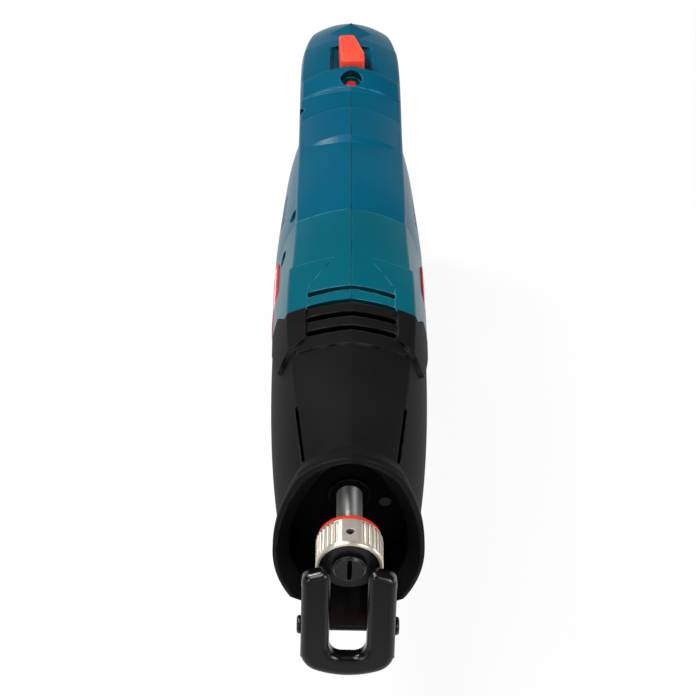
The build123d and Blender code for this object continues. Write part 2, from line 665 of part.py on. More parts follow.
def motor():
    """The motor: can, magnets, end cap, brushes and bearings, and the armature with pinion and fan."""
    r = MOTOR_D / 2
    inner = r - MOTOR_WALL
    z = MOTOR_Z
    can = tube_y(r, inner, MOTOR_Y, END_CAP_Y, 0, z)
    lip = tube_y(r - 1.0, 12.0, MOTOR_Y, MOTOR_Y + 2.0, 0, z)
    can += lip
    magnet_in = inner - MAGNET_T
    ring = tube_y(inner - TOUCH, magnet_in, MOTOR_Y + 8.0, END_CAP_Y - 8.0, 0, z)
    gaps = block(-BIG, BIG, MOTOR_Y, END_CAP_Y, z - 3.0, z + 3.0)
    gaps += block(-3.0, 3.0, MOTOR_Y, END_CAP_Y, -BIG, BIG)
    magnets = Compound((ring - gaps).solids())
    core_r = magnet_in - AIR_GAP
    core_y0 = MOTOR_Y + 12.0
    core_y1 = END_CAP_Y - 14.0
    core = tube_y(core_r, MOTOR_SHAFT_D / 2 + TOUCH, core_y0, core_y1, 0, z)
    slots = []
    slot_in = core_r - SLOT_R - 1.2
    for i in range(ARMATURE_SLOTS):
        angle = 2 * pi * i / ARMATURE_SLOTS
        slots.append(cyl_y(SLOT_R, core_y0 - 1, core_y1 + 1, slot_in * cos(angle), z + slot_in * sin(angle)))
    core -= slots
    wind_r = core_r - 1.5
    front_wind = tube_y(wind_r, 7.0, core_y0 - WINDING_L, core_y0 - TOUCH, 0, z)
    rear_wind = tube_y(wind_r, 7.0, core_y1 + TOUCH, core_y1 + WINDING_L, 0, z)
    windings = Compound([
        fillet(front_wind.edges().group_by(Axis.Y)[0], 2.5).solid(),
        fillet(rear_wind.edges().group_by(Axis.Y)[-1], 2.5).solid(),
    ])
    com_y = END_CAP_Y - 5.0
    com_r = COMMUTATOR_D / 2
    commutator = tube_y(com_r, MOTOR_SHAFT_D / 2 + TOUCH, com_y, com_y + COMMUTATOR_L, 0, z)
    grooves = []
    for i in range(ARMATURE_SLOTS):
        angle = 2 * pi * i / ARMATURE_SLOTS
        x = com_r * cos(angle)
        grooves.append(cyl_y(0.5, com_y - 1, com_y + COMMUTATOR_L + 1, x, z + com_r * sin(angle)))
    commutator -= grooves
    shaft = cyl_y(MOTOR_SHAFT_D / 2, GEAR_Y - 1.0, MOTOR_END - 2.4, 0, z)

    cap = cyl_y(r, END_CAP_Y + TOUCH, MOTOR_END, 0, z)
    cap = fillet(cap.edges().group_by(Axis.Y)[-1], 3.0)
    cap -= cyl_y(inner, END_CAP_Y - 1, MOTOR_END - 8.0, 0, z)
    cap -= cyl_y(MOTOR_REAR_BEARING_D / 2 + TOUCH, END_CAP_Y - 1, MOTOR_END - 2.0, 0, z)
    bore_r = MOTOR_SHAFT_D / 2 + RUN
    rear_bearing = bearing(MOTOR_REAR_BEARING_D / 2, bore_r, MOTOR_END - 7.5, MOTOR_END - 2.5, z)
    seat_y = PLATE_Y + PLATE_T - BEARING_SEAT - 2 * RUN
    front_bearing = bearing(MOTOR_BEARING_D / 2, bore_r, PLATE_Y + 0.5, seat_y, z)

    brush_y = com_y + COMMUTATOR_L / 2
    brush_in = com_r + 2 * RUN
    brush_out = inner - 3.5
    half_l = BRUSH_L / 2
    half_w = BRUSH_W / 2
    brush = block(brush_in, brush_out, brush_y - half_l, brush_y + half_l, z - half_w, z + half_w)
    wall = HOLDER_WALL
    holder = block(brush_in + 2.0, inner, brush_y - half_l - wall, brush_y + half_l + wall, z - half_w - wall,
                   z + half_w + wall)
    half_l += TOUCH
    half_w += TOUCH
    holder -= block(0, brush_out + TOUCH, brush_y - half_l, brush_y + half_l, z - half_w, z + half_w)
    holder &= cyl_y(inner - TOUCH, MOTOR_Y, MOTOR_END, 0, z)

    pinion = spur_gear(PINION_TEETH, False, MOTOR_SHAFT_D / 2 + TOUCH, GEAR_Y - 0.5, GEAR_Y + GEAR_W + 0.5, z)
    fan = tube_y(FAN_HUB_D / 2, MOTOR_SHAFT_D / 2 + TOUCH, FAN_Y, FAN_Y + FAN_L, 0, z)
    fan += tube_y(FAN_D / 2, 5.0, FAN_Y + FAN_L - 1.6, FAN_Y + FAN_L, 0, z)
    blade = block(FAN_HUB_D / 2 - 1, FAN_D / 2 - 0.5, FAN_Y, FAN_Y + FAN_L - 1.0, -0.7, 0.7)
    fan += [Pos(0, 0, z) * Rot(0, 360 * i / FAN_BLADES, 0) * blade for i in range(FAN_BLADES)]
    return {
        "motor_can": can,
        "field_magnets": magnets,
        "armature_core": core,
        "armature_windings": windings,
        "commutator": commutator,
        "armature_shaft": shaft,
        "motor_end_cap": cap,
        "motor_rear_bearing": rear_bearing,
        "motor_front_bearing": front_bearing,
        "carbon_brushes": mirrored(brush),
        "brush_holders": mirrored(holder),
        "motor_pinion": pinion,
        "cooling_fan": fan,
    }


def shoe_parts():
    """The U-shaped shoe, which leans back, its rivets, the bracket that carries it and its clamp screw."""
    w = SHOE_W / 2
    s = SHOE_SLOT_W / 2
    low = -SHOE_DOWN + SHOE_BOW
    outer_top = SHOE_UP - SHOE_SLOPE
    lines = Polyline((-s, -SHOE_SLOT_DOWN), (-s, SHOE_UP), (-w, outer_top), (-w, low))
    lines += ThreePointArc((-w, low), (0, -SHOE_DOWN), (w, low))
    lines += Polyline((w, low), (w, outer_top), (s, SHOE_UP), (s, -SHOE_SLOT_DOWN), (-s, -SHOE_SLOT_DOWN))
    face = make_face(lines)
    face = fillet([v for v in face.vertices() if abs(v.Y - low) < 0.1], SHOE_CORNER_R)
    face = fillet([v for v in face.vertices() if abs(v.Y + SHOE_SLOT_DOWN) < 0.1], SHOE_SLOT_R)
    face = fillet([v for v in face.vertices() if abs(v.Y - outer_top) < 0.1], SHOE_TOP_R)
    face = fillet([v for v in face.vertices() if abs(v.Y - SHOE_UP) < 0.1], SHOE_TIP_R)
    lip_x = s + SHOE_LIP_W
    lip_low = -SHOE_SLOT_DOWN - SHOE_LIP_W
    band = make_face(Polyline((-lip_x, BIG), (-lip_x, lip_low), (lip_x, lip_low), (lip_x, BIG), close=True))
    band = fillet([v for v in band.vertices() if v.Y < 0], SHOE_SLOT_R + SHOE_LIP_W)
    side_top = outer_top - SHOE_LIP_W
    tops = make_face(Polyline((-w - 1, side_top), (-s, SHOE_UP - SHOE_LIP_W), (s, SHOE_UP - SHOE_LIP_W),
                              (w + 1, side_top), (w + 1, BIG), (-w - 1, BIG), close=True))
    plate_rear = SHOE_T - SHOE_REACH
    plate = Pos(0, plate_rear, 0) * extrude(Plane.XZ * face, SHOE_T)
    rolled = Pos(0, plate_rear + SHOE_LIP_L, 0) * extrude(Plane.XZ * ((band + tops) & face), SHOE_LIP_L + 0.5)
    plate = fillet(plate.edges().group_by(Axis.Y)[0], SHOE_EDGE_R) + rolled
    sunk = plate_rear - 1.5
    flange = block(w - SHOE_FLANGE_T, w, sunk, 7.0, -8.0, 8.0)
    flange = fillet(flange.edges().filter_by(Axis.X).group_by(Axis.Y)[-1], 6.5)
    web = profile([(sunk, -SHOE_DOWN + 10), (0, -6), (0, 6), (sunk, outer_top - 6)], w - SHOE_FLANGE_T, w)
    flange += web
    flange -= cyl_x(PIN_D / 2 + TOUCH, 0, BIG, 0, 0)
    shoe = plate + flange + mirror(flange, Plane.YZ)
    place = Pos(0, PIVOT_Y, PIVOT_Z) * Rot(-SHOE_TILT, 0, 0)
    ear_out = w - SHOE_FLANGE_T - 0.4
    ear_in = ear_out - BRACKET_EAR_T
    head = cyl_x(RIVET_HEAD_D / 2, w + TOUCH, w + 2.0, 0, 0)
    head = fillet(head.edges().group_by(Axis.X)[-1], 1.2)
    rivet = cyl_x(PIN_D / 2, ear_in - 0.6, w + 1.0, 0, 0) + head

    z0 = BRACKET_Z
    arm_y = PIVOT_Y + 13.0
    bracket = block(-ear_out, ear_out, PIVOT_Y + 2.0, arm_y, z0, z0 + BRACKET_T)
    bracket += block(-BRACKET_W / 2, BRACKET_W / 2, arm_y - 1, BRACKET_TAIL, z0, z0 + BRACKET_T)
    corners = [e for e in bracket.edges().filter_by(Axis.Z) if abs(e.center().Y - arm_y) < 0.5]
    bracket = fillet(corners, 2.5)
    ear = cyl_x(BRACKET_EAR_R, ear_in, ear_out, PIVOT_Y, PIVOT_Z)
    ear += block(ear_in, ear_out, PIVOT_Y, arm_y, z0, PIVOT_Z + 2.0)
    bracket += ear + mirror(ear, Plane.YZ)
    bracket -= cyl_x(PIN_D / 2 + RUN, -BIG, BIG, PIVOT_Y, PIVOT_Z)
    seat_z = PIVOT_Z - CLAMP_SINK
    clamp = cyl_z(CLAMP_D / 2, seat_z - 5.0, BRACKET_Z - FIT, 0, CLAMP_Y)
    clamp += cyl_z(CLAMP_HEAD_D / 2, seat_z - 5.0, seat_z - TOUCH, 0, CLAMP_Y)
    clamp -= extrude(Pos(0, CLAMP_Y, seat_z - 6.0) * RegularPolygon(CLAMP_HEAD_D / 4, 6), 3.5)
    return place * shoe, place * mirrored(rivet), bracket, clamp


def front_shells():
    """The boot with its bell, the front housing's two halves and the plain side badges."""
    hull = body(FRONT_RINGS)
    above = body(FRONT_RINGS, -3.0)
    deep = above - body(FRONT_RINGS, LOUVRE_DEPTH)
    cuts = []
    for i in range(LOUVRE_COUNT):
        y0 = BOOT_REAR + (i - 1.6) * LOUVRE_PITCH - LOUVRE_SLOT
        slot = block(-LOUVRE_X, LOUVRE_X, y0, y0 + LOUVRE_SLOT, 20, 60)
        cuts.append(deep & fillet(slot.edges().filter_by(Axis.Z), 0.45 * LOUVRE_SLOT))

    lobe_y = BOOT_REAR - LOBE_L
    past = EAR_REAR + 5
    lobes = raised([
        (LOBE_X, past), (LOBE_X, lobe_y + 10), (LOBE_X - 1.0, lobe_y + 7.5), (LOBE_X + 6, lobe_y + 2),
        (LOBE_X + 13, lobe_y), (BIG, lobe_y), (BIG, past),
    ], [body([wider(ring, t * LOBE_OUT, t * LOBE_UP) for ring in FRONT_RINGS]) for t in (0.5, 1.0)])
    below = profile([(lobe_y - 1, LOBE_LOW + 12), (lobe_y - 1, 0), (BOOT_REAR, LOBE_LOW)], -BIG, BIG)
    lobes = [lobe - below for lobe in lobes]
    saddle = raised([
        (0, past), (0, BOOT_REAR - SADDLE_L), (SADDLE_X, BOOT_REAR - SADDLE_L), (SADDLE_X, past),
    ], [body(FRONT_RINGS, -SADDLE_UP)])
    ears = raised([
        (LOBE_X, BOOT_REAR - 5), (LOBE_X, HOOD_REAR - EAR_RAMP), (EAR_INNER, HOOD_REAR), (BIG, HOOD_REAR),
        (BIG, BOOT_REAR - 5),
    ], [body([wider(ring, PAD_RISE) for ring in FRONT_RINGS])])
    groove = plan([
        (NECK.edge_w - GROOVE_W / 2, NECK_Y + 1), (NECK.edge_w + GROOVE_W / 2, NECK_Y + 1),
        (SHOULDER.edge_w + GROOVE_W / 2, SHOULDER.y - 2), (SHOULDER.edge_w - GROOVE_W / 2, SHOULDER.y - 2),
    ], 20, 60)
    grooves = (above - body(FRONT_RINGS, GROOVE_DEPTH)) & (groove + mirror(groove, Plane.YZ))
    back = 2 * BIG
    notch = profile([
        (BOOT_REAR, BIG), (BOOT_REAR, EAR_TOP), (EAR_REAR, EAR_LOW), (back, EAR_LOW), (back, BIG),
    ], -BIG, BIG)
    flare = loft([outline(RIM), outline(NECK)], ruled=True)
    rim = replace(RIM, y=BELL_FRONT + 1.5)
    lip = replace(RIM, y=BELL_FRONT)
    flange = loft([outline(rim), outline(RIM)], ruled=True)
    flange += loft([outline(lip, 1.5), outline(rim)], ruled=True)
    boot = ((hull + saddle + lobes) & slab(NECK_Y, EAR_REAR)) - notch - grooves
    boot = boot + flare + flange
    boot -= body(FRONT_RINGS, BOOT_WALL) & slab(CASE_FRONT, EAR_REAR + 1)
    throat = replace(RIM, y=BELL_FRONT + MOUTH_DEPTH)
    mouth_front = replace(RIM, y=BELL_FRONT - 0.5)
    seat = replace(NECK, y=CASE_FRONT + 0.5)
    boot -= loft([outline(mouth_front, 1.6), outline(throat, BELL_LIP)], ruled=True)
    boot -= loft([outline(throat, BELL_LIP), outline(seat, BELL_LIP - 1.5)], ruled=True)
    boot -= cuts
    boot -= cyl_z(CLAMP_HEAD_D / 2 + 1.1, -BIG, PIVOT_Z - CLAMP_SINK, 0, CLAMP_Y)

    g = 1.6 * FIT
    zone = profile([
        (BOOT_REAR + g, BIG), (BOOT_REAR + g, EAR_TOP), (EAR_REAR + g, EAR_LOW), (EAR_REAR + g, -BIG),
        (SEAM_Y, -BIG), (SEAM_Y, BIG),
    ], -BIG, BIG)
    outer = (hull + ears) & zone
    inner = body(FRONT_RINGS, HOUSING_WALL)
    shell = outer - inner - cuts
    rib_y = MOTOR_Y + 12.0
    rib = body(FRONT_RINGS, HOUSING_WALL - 0.5) & slab(rib_y, rib_y + 3.0)
    shell += rib - cyl_y(MOTOR_D / 2 + 2 * RUN, 0, BIG, 0, MOTOR_Z)
    shell -= side_slots(FAN_Y, OUTLET_COUNT, 0.6 * VENT_PITCH, OUTLET_Z)
    screws = []
    for y, z in ((SEAM_Y - 11.0, 21.0), (SEAM_Y - 11.0, -47.0)):
        shell, screw = add_screw(shell, outer, y, z)
        screws.append(screw)
    badge = body(FRONT_RINGS, -1.0) - body(FRONT_RINGS, -RUN)
    badge &= block(0, BIG, HOOD_REAR + 4.0, SEAM_Y - 4.0, -17.0, 12.0)
    left, right = halves(shell)
    return boot, left, right, mirrored(badge), screws


def raised(points, skins):
    """Low pads on both sides of the front shells, above an outline in plan, with one step for each skin."""
    face = make_face(Polyline(*points, close=True))
    pads = []
    for step, skin in enumerate(skins):
        pad = Pos(0, 0, LOBE_LOW) * extrude(offset(face, -PAD_STEP * step), BIG, dir=(0, 0, 1))
        pads += skin & (pad + mirror(pad, Plane.YZ))
    return pads


def wider(ring, more, up=0.0):
    """A section spread sideways, with its top at the same height or raised."""
    return replace(ring, ridge=ring.ridge + up, edge_w=ring.edge_w + more, edge_z=ring.edge_z + up,
                   side_w=ring.side_w + more, keel_w=ring.keel_w + more)


def side_slots(y, count, pitch, z):
    """Upright slots through both sides of a housing, the first at y."""
    cuts = []
    for i in range(count):
        y0 = y + i * pitch
        slot = block(15.0, BIG, y0, y0 + VENT_W, z - VENT_H / 2, z + VENT_H / 2)
        slot = fillet(slot.edges().filter_by(Axis.X), 0.45 * VENT_W)
        cuts += [slot, mirror(slot, Plane.YZ)]
    return cuts


def halves(shell):
    """A clamshell cut in two along the centre plane."""
    left = shell - block(-SEAM_GAP / 2, BIG, -BIG, 2 * BIG, -BIG, BIG)
    right = shell - block(-BIG, SEAM_GAP / 2, -BIG, 2 * BIG, -BIG, BIG)
    return left, right


def half_width(solid, y, z):
    """How far a body reaches sideways at one point of its side view."""
    return (solid & block(-BIG, BIG, y - 0.5, y + 0.5, z - 0.5, z + 0.5)).bounding_box().max.X


def add_screw(shell, outer, y, z):
    """Adds a screw boss across the clamshell at (y, z), with its recess on the left, and makes the screw."""
    w = half_width(outer, y, z)
    head_x = SCREW_SINK - w
    tip_x = w - SCREW_SINK
    shell += cyl_x(BOSS_D / 2, -BIG, BIG, y, z) & outer
    shell -= cyl_x(SCREW_HEAD_D / 2 + 0.5, -BIG, head_x, y, z)
    shell -= cyl_x(SCREW_D / 2 + RUN, head_x - 1, tip_x + 0.5, y, z)
    screw = cyl_x(SCREW_D / 2, head_x - 1.0, tip_x, y, z)
    screw += cyl_x(SCREW_HEAD_D / 2, head_x - 2.6, head_x - TOUCH, y, z)
    slot = block(head_x - BIG, head_x - 1.4, y - 0.5, y + 0.5, z - 2.4, z + 2.4)
    slot += block(head_x - BIG, head_x - 1.4, y - 2.4, y + 2.4, z - 0.5, z + 0.5)
    return shell, (screw - slot).solid()


def rear_body(inset=0.0):
    """The rear housing as one solid, or the hollow inside it."""
    barrel = body(BARREL_RINGS, inset) & slab(0, BARREL_REAR - inset)
    bar = body(BAR_RINGS, inset) + (body(END_RINGS, inset) & slab(0, END_RINGS[-1].y - inset))
    return barrel + bar + level_loft(GRIP_LEVELS, inset) + level_loft(STRUT_LEVELS, inset)


def control_box(grow=0.0):
    """The room that the control module takes behind the motor."""
    w = CONTROL_W / 2 + grow
    return block(-w, w, CONTROL_Y, CONTROL_Y + CONTROL_L, CONTROL_LOW - grow, CONTROL_LOW + CONTROL_H + grow)


def rear_shells():
    """The halves of the rear housing and of the handle with the battery foot, the grip pad and the screws."""
    foot = block(-FOOT_W / 2, FOOT_W / 2, FOOT_FRONT, FOOT_REAR, FOOT_Z, FOOT_Z + FOOT_T)
    foot = fillet(foot.edges().filter_by(Axis.Z), 10.0)
    foot = fillet(foot.edges().group_by(Axis.Z)[-1], 4.0)
    swells = loft([outline(r) for r in BAND_RINGS], ruled=True)
    swells += loft([outline(r) for r in HUMP_RINGS], ruled=True)
    gables = []
    for away, w, low, top in CAP_SECTIONS:
        y = LEVER_PIVOT_Y + away
        gables.append(make_face(Polyline((-w, y, low), (0, y, top), (w, y, low), close=True)))
    swells += loft(gables, ruled=True)
    outer = rear_body() + swells + foot
    swing = tan(radians(LEVER_TURN)) * LEVER_L
    half = LEVER_TIP_W / 2 + swing + 1.2
    lever_end = LEVER_PIVOT_Y - LEVER_NOSE + LEVER_L
    trough_y = HUMP_RINGS[-1].y
    trough_end = lever_end + 2.5
    rim_z = LEVER_FLOOR + TROUGH_RISE
    outer -= section([
        (-half, LEVER_FLOOR), (half, LEVER_FLOOR), (TROUGH_X, rim_z), (TROUGH_X, BIG), (-TROUGH_X, BIG),
        (-TROUGH_X, rim_z),
    ], trough_y, trough_end)
    hollow = rear_body(HOUSING_WALL) & block(-BIG, BIG, 0, 2 * BIG, FOOT_Z + FOOT_T - 5.0, BIG)
    wall = HOUSING_WALL
    hollow -= block(-TROUGH_X, TROUGH_X, trough_y - wall, trough_end + wall, LEVER_FLOOR - wall, BIG)
    shell = outer - hollow
    for rib_y in (SEAM_Y + 10.0, END_CAP_Y + 5.0):
        rib = body(BARREL_RINGS, HOUSING_WALL - 0.5) & slab(rib_y, rib_y + 3.0)
        shell += rib - cyl_y(MOTOR_D / 2 + 2 * RUN, 0, BIG, 0, MOTOR_Z)
    web = body(BARREL_RINGS, HOUSING_WALL - 0.5) & slab(CONTROL_Y + 4.0, CONTROL_Y + 4.0 + SHELF_T)
    shell += web - control_box(TOUCH)
    grip_room = level_loft(GRIP_LEVELS, HOUSING_WALL - 0.5)
    for z in (SWITCH_LOW - TOUCH - SHELF_T, SWITCH_HIGH + TOUCH):
        shell += grip_room & block(-BIG, BIG, SWITCH_Y + 5.0, SWITCH_Y + SWITCH_L - 5.0, z, z + SHELF_T)
    shell -= side_slots(SEAM_Y + INLET_SET, INLET_COUNT, VENT_PITCH, INLET_Z)
    screws = []
    places = [
        (BARREL_REAR - 11.0, 31.0),
        (SEAM_Y + 20.0, 27.0),
        (FOOT_FRONT + 8.0, -31.0),
        (GRIP_FRONT + 30.0, -64.0),
        (FOOT_FRONT + 10.0, FOOT_Z + 10.5),
    ]
    for y, z in places:
        shell, screw = add_screw(shell, outer, y, z)
        screws.append(screw)

    well_y = SEAM_Y + WELL_Y
    well_z = between(HUMP_RINGS[1], HUMP_RINGS[2], well_y).ridge - WELL_SINK
    well = Pos(0, well_y, well_z) * Rot(WELL_TILT, 0, 0)
    shell += (well * Pos(0, 0, -8) * Cylinder(WELL_D / 2 + 2.5, 16)) & outer
    shell -= well * Pos(0, 0, 10 - WELL_DEPTH) * Cylinder(WELL_D / 2, 20)
    shell -= well * Pos(0, 0, -9) * Cylinder(LENS_D / 2 + TOUCH, 18)
    lens = well * Pos(0, 0, -WELL_DEPTH - 2.0) * Cylinder(LENS_D / 2, 5.0)
    lens += well * Pos(0, 0, -WELL_DEPTH - 5.5) * Cylinder(LENS_D / 2 - 0.6, 3.0)

    shell += cyl_z(LEVER_PIN_D, LEVER_FLOOR - 12.0, LEVER_FLOOR, 0, LEVER_PIVOT_Y) & outer
    shell -= cyl_z(LEVER_PIN_D / 2 + RUN, LEVER_FLOOR - 20.0, LEVER_FLOOR + 1, 0, LEVER_PIVOT_Y)

    tx = TRIGGER_W / 2 + FIT
    y1 = TRIGGER_FRONT + TRIGGER_L + 5.0
    shell -= block(-tx, tx, TRIGGER_FRONT - 6, y1, TRIGGER_Z - FIT, TRIGGER_Z + TRIGGER_H + FIT)
    shell -= cyl_x(LOCK_D / 2 + FIT, -BIG, BIG, LOCK_Y, LOCK_Z)

    head = RAIL_HEAD_W / 2 + FIT
    stem = RAIL_STEM_W / 2 + FIT
    stem_top = FOOT_Z + RAIL_STEM_H
    shell -= block(-stem, stem, RAIL_Y, BIG * 2, FOOT_Z - 1, stem_top)
    shell -= block(-head, head, RAIL_Y, BIG * 2, stem_top - FIT, stem_top + RAIL_HEAD_H + FIT)
    side = TERMINAL_W / 2 + TOUCH
    shell -= block(-side, side, RAIL_Y - TERMINAL_T, RAIL_Y + 1, stem_top - 1.0, stem_top + RAIL_HEAD_H)

    pad_y = GRIP_FRONT + PAD_SET
    pad_box = block(-BIG, BIG, pad_y, BIG * 2, PAD_BOTTOM, PAD_TOP)
    gap = 2 * RUN
    pad_room = block(-BIG, BIG, pad_y - gap, BIG * 2, PAD_BOTTOM - gap, PAD_TOP + gap)
    pad = (level_loft(GRIP_LEVELS) - level_loft(GRIP_LEVELS, PAD_T)) & pad_box
    shell -= (level_loft(GRIP_LEVELS, -2.0) - level_loft(GRIP_LEVELS, PAD_T + TOUCH)) & pad_room
    before = block(-BIG, BIG, -BIG, BARREL_REAR, FOOT_Z + FOOT_T, BIG)
    upto = block(-BIG, BIG, -BIG, BARREL_REAR + SEAM_GAP, FOOT_Z + FOOT_T - SEAM_GAP, BIG)
    return halves(shell & before), halves(shell - upto), pad, lens, screws


def controls():
    """Trigger, switch, lock button, selector lever and the trigger's spring."""
    y0 = TRIGGER_FRONT
    y1 = TRIGGER_FRONT + TRIGGER_L
    z0 = TRIGGER_Z
    z1 = TRIGGER_Z + TRIGGER_H
    lines = Polyline((y1, z0), (y0 + 3, z0))
    lines += ThreePointArc((y0 + 3, z0), (y0 + 3.6, z0 + TRIGGER_H * 0.55), (y0, z1 - 3))
    lines += Polyline((y0, z1 - 3), (y0 + 3, z1), (y1, z1), (y1, z0))
    face = Plane.YZ * make_face(lines)
    trigger = Pos(-TRIGGER_W / 2, 0, 0) * extrude(face, TRIGGER_W)
    sides = [e for e in trigger.edges() if abs(e.center().X) > TRIGGER_W / 2 - 0.1]
    trigger = fillet([e for e in sides if e.center().Y < y0 + 8], 2.2)
    bore_z = TRIGGER_Z + TRIGGER_H / 2
    trigger -= cyl_y(SPRING_R + 2 * SPRING_WIRE, y0 + 10.0, BIG * 2, 0, bore_z)

    switch = block(-SWITCH_W / 2, SWITCH_W / 2, SWITCH_Y, SWITCH_Y + SWITCH_L, SWITCH_LOW, SWITCH_HIGH)
    switch = fillet(switch.edges().filter_by(Axis.Y), 1.5)
    switch += cyl_y(SPRING_R - 1.4, SWITCH_Y - 9.0, SWITCH_Y + 1, 0, bore_z)
    coil = spring(SPRING_R, SPRING_WIRE, SPRING_TURNS, SPRING_PITCH)
    coil_y = SWITCH_Y - SPRING_WIRE / 2 - RUN - SPRING_TURNS * SPRING_PITCH
    coil = Pos(0, coil_y, bore_z) * Rot(-90, 0, 0) * coil

    lock = cyl_x(LOCK_D / 2, -LOCK_HALF - LOCK_TRAVEL, LOCK_HALF, LOCK_Y, LOCK_Z)
    lock = fillet(lock.edges().filter_by(GeomType.CIRCLE), 1.2)

    base = LEVER_FLOOR + FIT
    start = -LEVER_NOSE
    end = start + LEVER_L
    w0 = LEVER_W / 2
    w1 = LEVER_TIP_W / 2
    lever = plan([(-w0, start), (w0, start), (w1, end), (-w1, end)], base, base + LEVER_H)
    lever = fillet(lever.edges().filter_by(Axis.Z), 2.0)
    top = base + LEVER_H
    crest = start + LEVER_WEDGE
    low = top - LEVER_WEDGE - 1
    lever -= profile([
        (start - 1, low), (crest, top), (end + 1, top - LEVER_FALL), (end + 1, top + 1), (start - 1, top + 1),
    ], -LEVER_W, LEVER_W)
    lever = fillet([e for e in lever.edges() if e.bounding_box().min.Z > low], LEVER_ROUND)
    taper = (LEVER_W - LEVER_TIP_W) / 2 / LEVER_L
    for i in range(6):
        y = LEVER_L / 4 + 2.6 * i
        lever -= cyl_z(0.6, base + 2.5, top + 1, taper * y - LEVER_W / 2, start + y)
    lever += cyl_z(LEVER_PIN_D / 2, base - 10.0, base + 1, 0, 0)
    lever = Pos(0, LEVER_PIVOT_Y, 0) * Rot(0, 0, LEVER_TURN) * lever
    return trigger, switch, coil, lock, lever


def battery():
    """The battery: rail head and upper case, base, cells, contacts and the two release buttons."""
    w = BATTERY_W / 2
    y0 = BATTERY_FRONT
    y1 = BATTERY_FRONT + BATTERY_L
    t = BATTERY_WALL
    upper = block(-w, w, y0, y1, BATTERY_SPLIT, BATTERY_TOP)
    upper = fillet(upper.edges().filter_by(Axis.Z), BATTERY_CORNER)
    upper = fillet(upper.edges().group_by(Axis.Z)[-1], 3.0)
    room = block(-w + t, w - t, y0 + t, y1 - t, BATTERY_SPLIT - 1, BATTERY_TOP - t)
    upper -= fillet(room.edges().filter_by(Axis.Z), BATTERY_CORNER - t)
    rail_y = RAIL_Y + FIT
    stem_top = BATTERY_TOP + RAIL_STEM_H
    rail_top = stem_top + RAIL_HEAD_H - FIT
    upper += block(-RAIL_STEM_W / 2, RAIL_STEM_W / 2, rail_y, y1 - 6.0, BATTERY_TOP - 1.0, stem_top + 1)
    upper += block(-RAIL_HEAD_W / 2, RAIL_HEAD_W / 2, rail_y, y1 - 6.0, stem_top, rail_top)
    for x in TERMINAL_X:
        upper -= block(x - 1.2, x + 1.2, rail_y - 1, rail_y + 16.0, stem_top - 1.5, rail_top + 1)

    base = block(-w, w, y0, y1, BATTERY_BOTTOM, BATTERY_SPLIT - FIT)
    base = fillet(base.edges().filter_by(Axis.Z), BATTERY_CORNER)
    base = fillet(base.edges().group_by(Axis.Z)[0], 4.0)
    room = block(-w + t, w - t, y0 + t, y1 - t, BATTERY_BOTTOM + t, BATTERY_SPLIT + 1)
    base -= fillet(room.edges().filter_by(Axis.Z), BATTERY_CORNER - t)

    cells = []
    pitch = CELL_D + 0.4
    first = BATTERY_MID - pitch * (CELL_COUNT - 1) / 2
    low = BATTERY_BOTTOM + t + CELL_D / 2 + 2 * RUN
    for row in range(2):
        for i in range(CELL_COUNT):
            cell = cyl_x(CELL_D / 2, -CELL_L / 2, CELL_L / 2, first + pitch * i, low + row * pitch)
            cells.append(cell.solid())
    contacts = []
    side = CONTACT_W / 2
    contact_y0 = rail_y + 4.0
    contact_y1 = rail_y + 14.0
    contact_z0 = stem_top - 3.4
    g = TOUCH
    for x in TERMINAL_X:
        pad = block(x - side, x + side, contact_y0, contact_y1, contact_z0, stem_top - 1.5 - g)
        contacts.append(pad.solid())
        s = side + g
        upper -= block(x - s, x + s, contact_y0 - g, contact_y1 + g, contact_z0 - g, stem_top - 1.4)

    by = BATTERY_FRONT + 2.0 + BUTTON_L
    bz = BATTERY_TOP - BATTERY_CASE_H / 2
    half_l = BUTTON_L / 2
    half_h = BUTTON_H / 2
    inner = w - BUTTON_T + BUTTON_PROUD
    button = block(inner, w + BUTTON_PROUD, by - half_l, by + half_l, bz - half_h, bz + half_h)
    button = fillet(button.edges().filter_by(Axis.X), 3.0)
    button = fillet(button.edges().group_by(Axis.X)[-1], 0.8)
    button -= [cyl_z(0.5, -BIG, 0, w + 1.4, by + 2.6 * i) for i in range(-3, 4)]
    half_l += FIT
    half_h += FIT
    floor_x = inner - BUTTON_TRAVEL - FIT
    pocket = block(floor_x, BIG, by - half_l, by + half_l, bz - half_h, bz + half_h)
    pocket = fillet(pocket.edges().filter_by(Axis.X), 3.0 + FIT)
    half_l += BATTERY_WALL
    half_h += 1.4
    frame = block(floor_x - 2.0, w - 1.0, by - half_l, by + half_l, bz - half_h, bz + half_h)
    upper += (frame + mirror(frame, Plane.YZ)) & block(-w, w, y0, y1, BATTERY_SPLIT, BATTERY_TOP - 1)
    upper -= pocket + mirror(pocket, Plane.YZ)

    block_y = RAIL_Y - TERMINAL_T
    side = TERMINAL_W / 2
    z0 = FOOT_Z + RAIL_STEM_H - 1.0
    z1 = FOOT_Z + RAIL_STEM_H + RAIL_HEAD_H
    terminal = block(-side, side, block_y + g, RAIL_Y - FIT, z0 + g, z1 - g)
    blades = []
    side = BLADE_T / 2
    z0 = stem_top - 0.6
    z1 = stem_top + 3.0
    for x in TERMINAL_X:
        blades.append(block(x - side, x + side, RAIL_Y - 1.0, RAIL_Y + 13.0, z0, z1).solid())
        terminal -= block(x - side - g, x + side + g, RAIL_Y - 1.0 - g, RAIL_Y + 1, z0 - g, z1 + g)
    button_left = mirror(button, Plane.YZ)
    return upper, base, Compound(cells), Compound(contacts), button_left, button, terminal, Compound(blades)


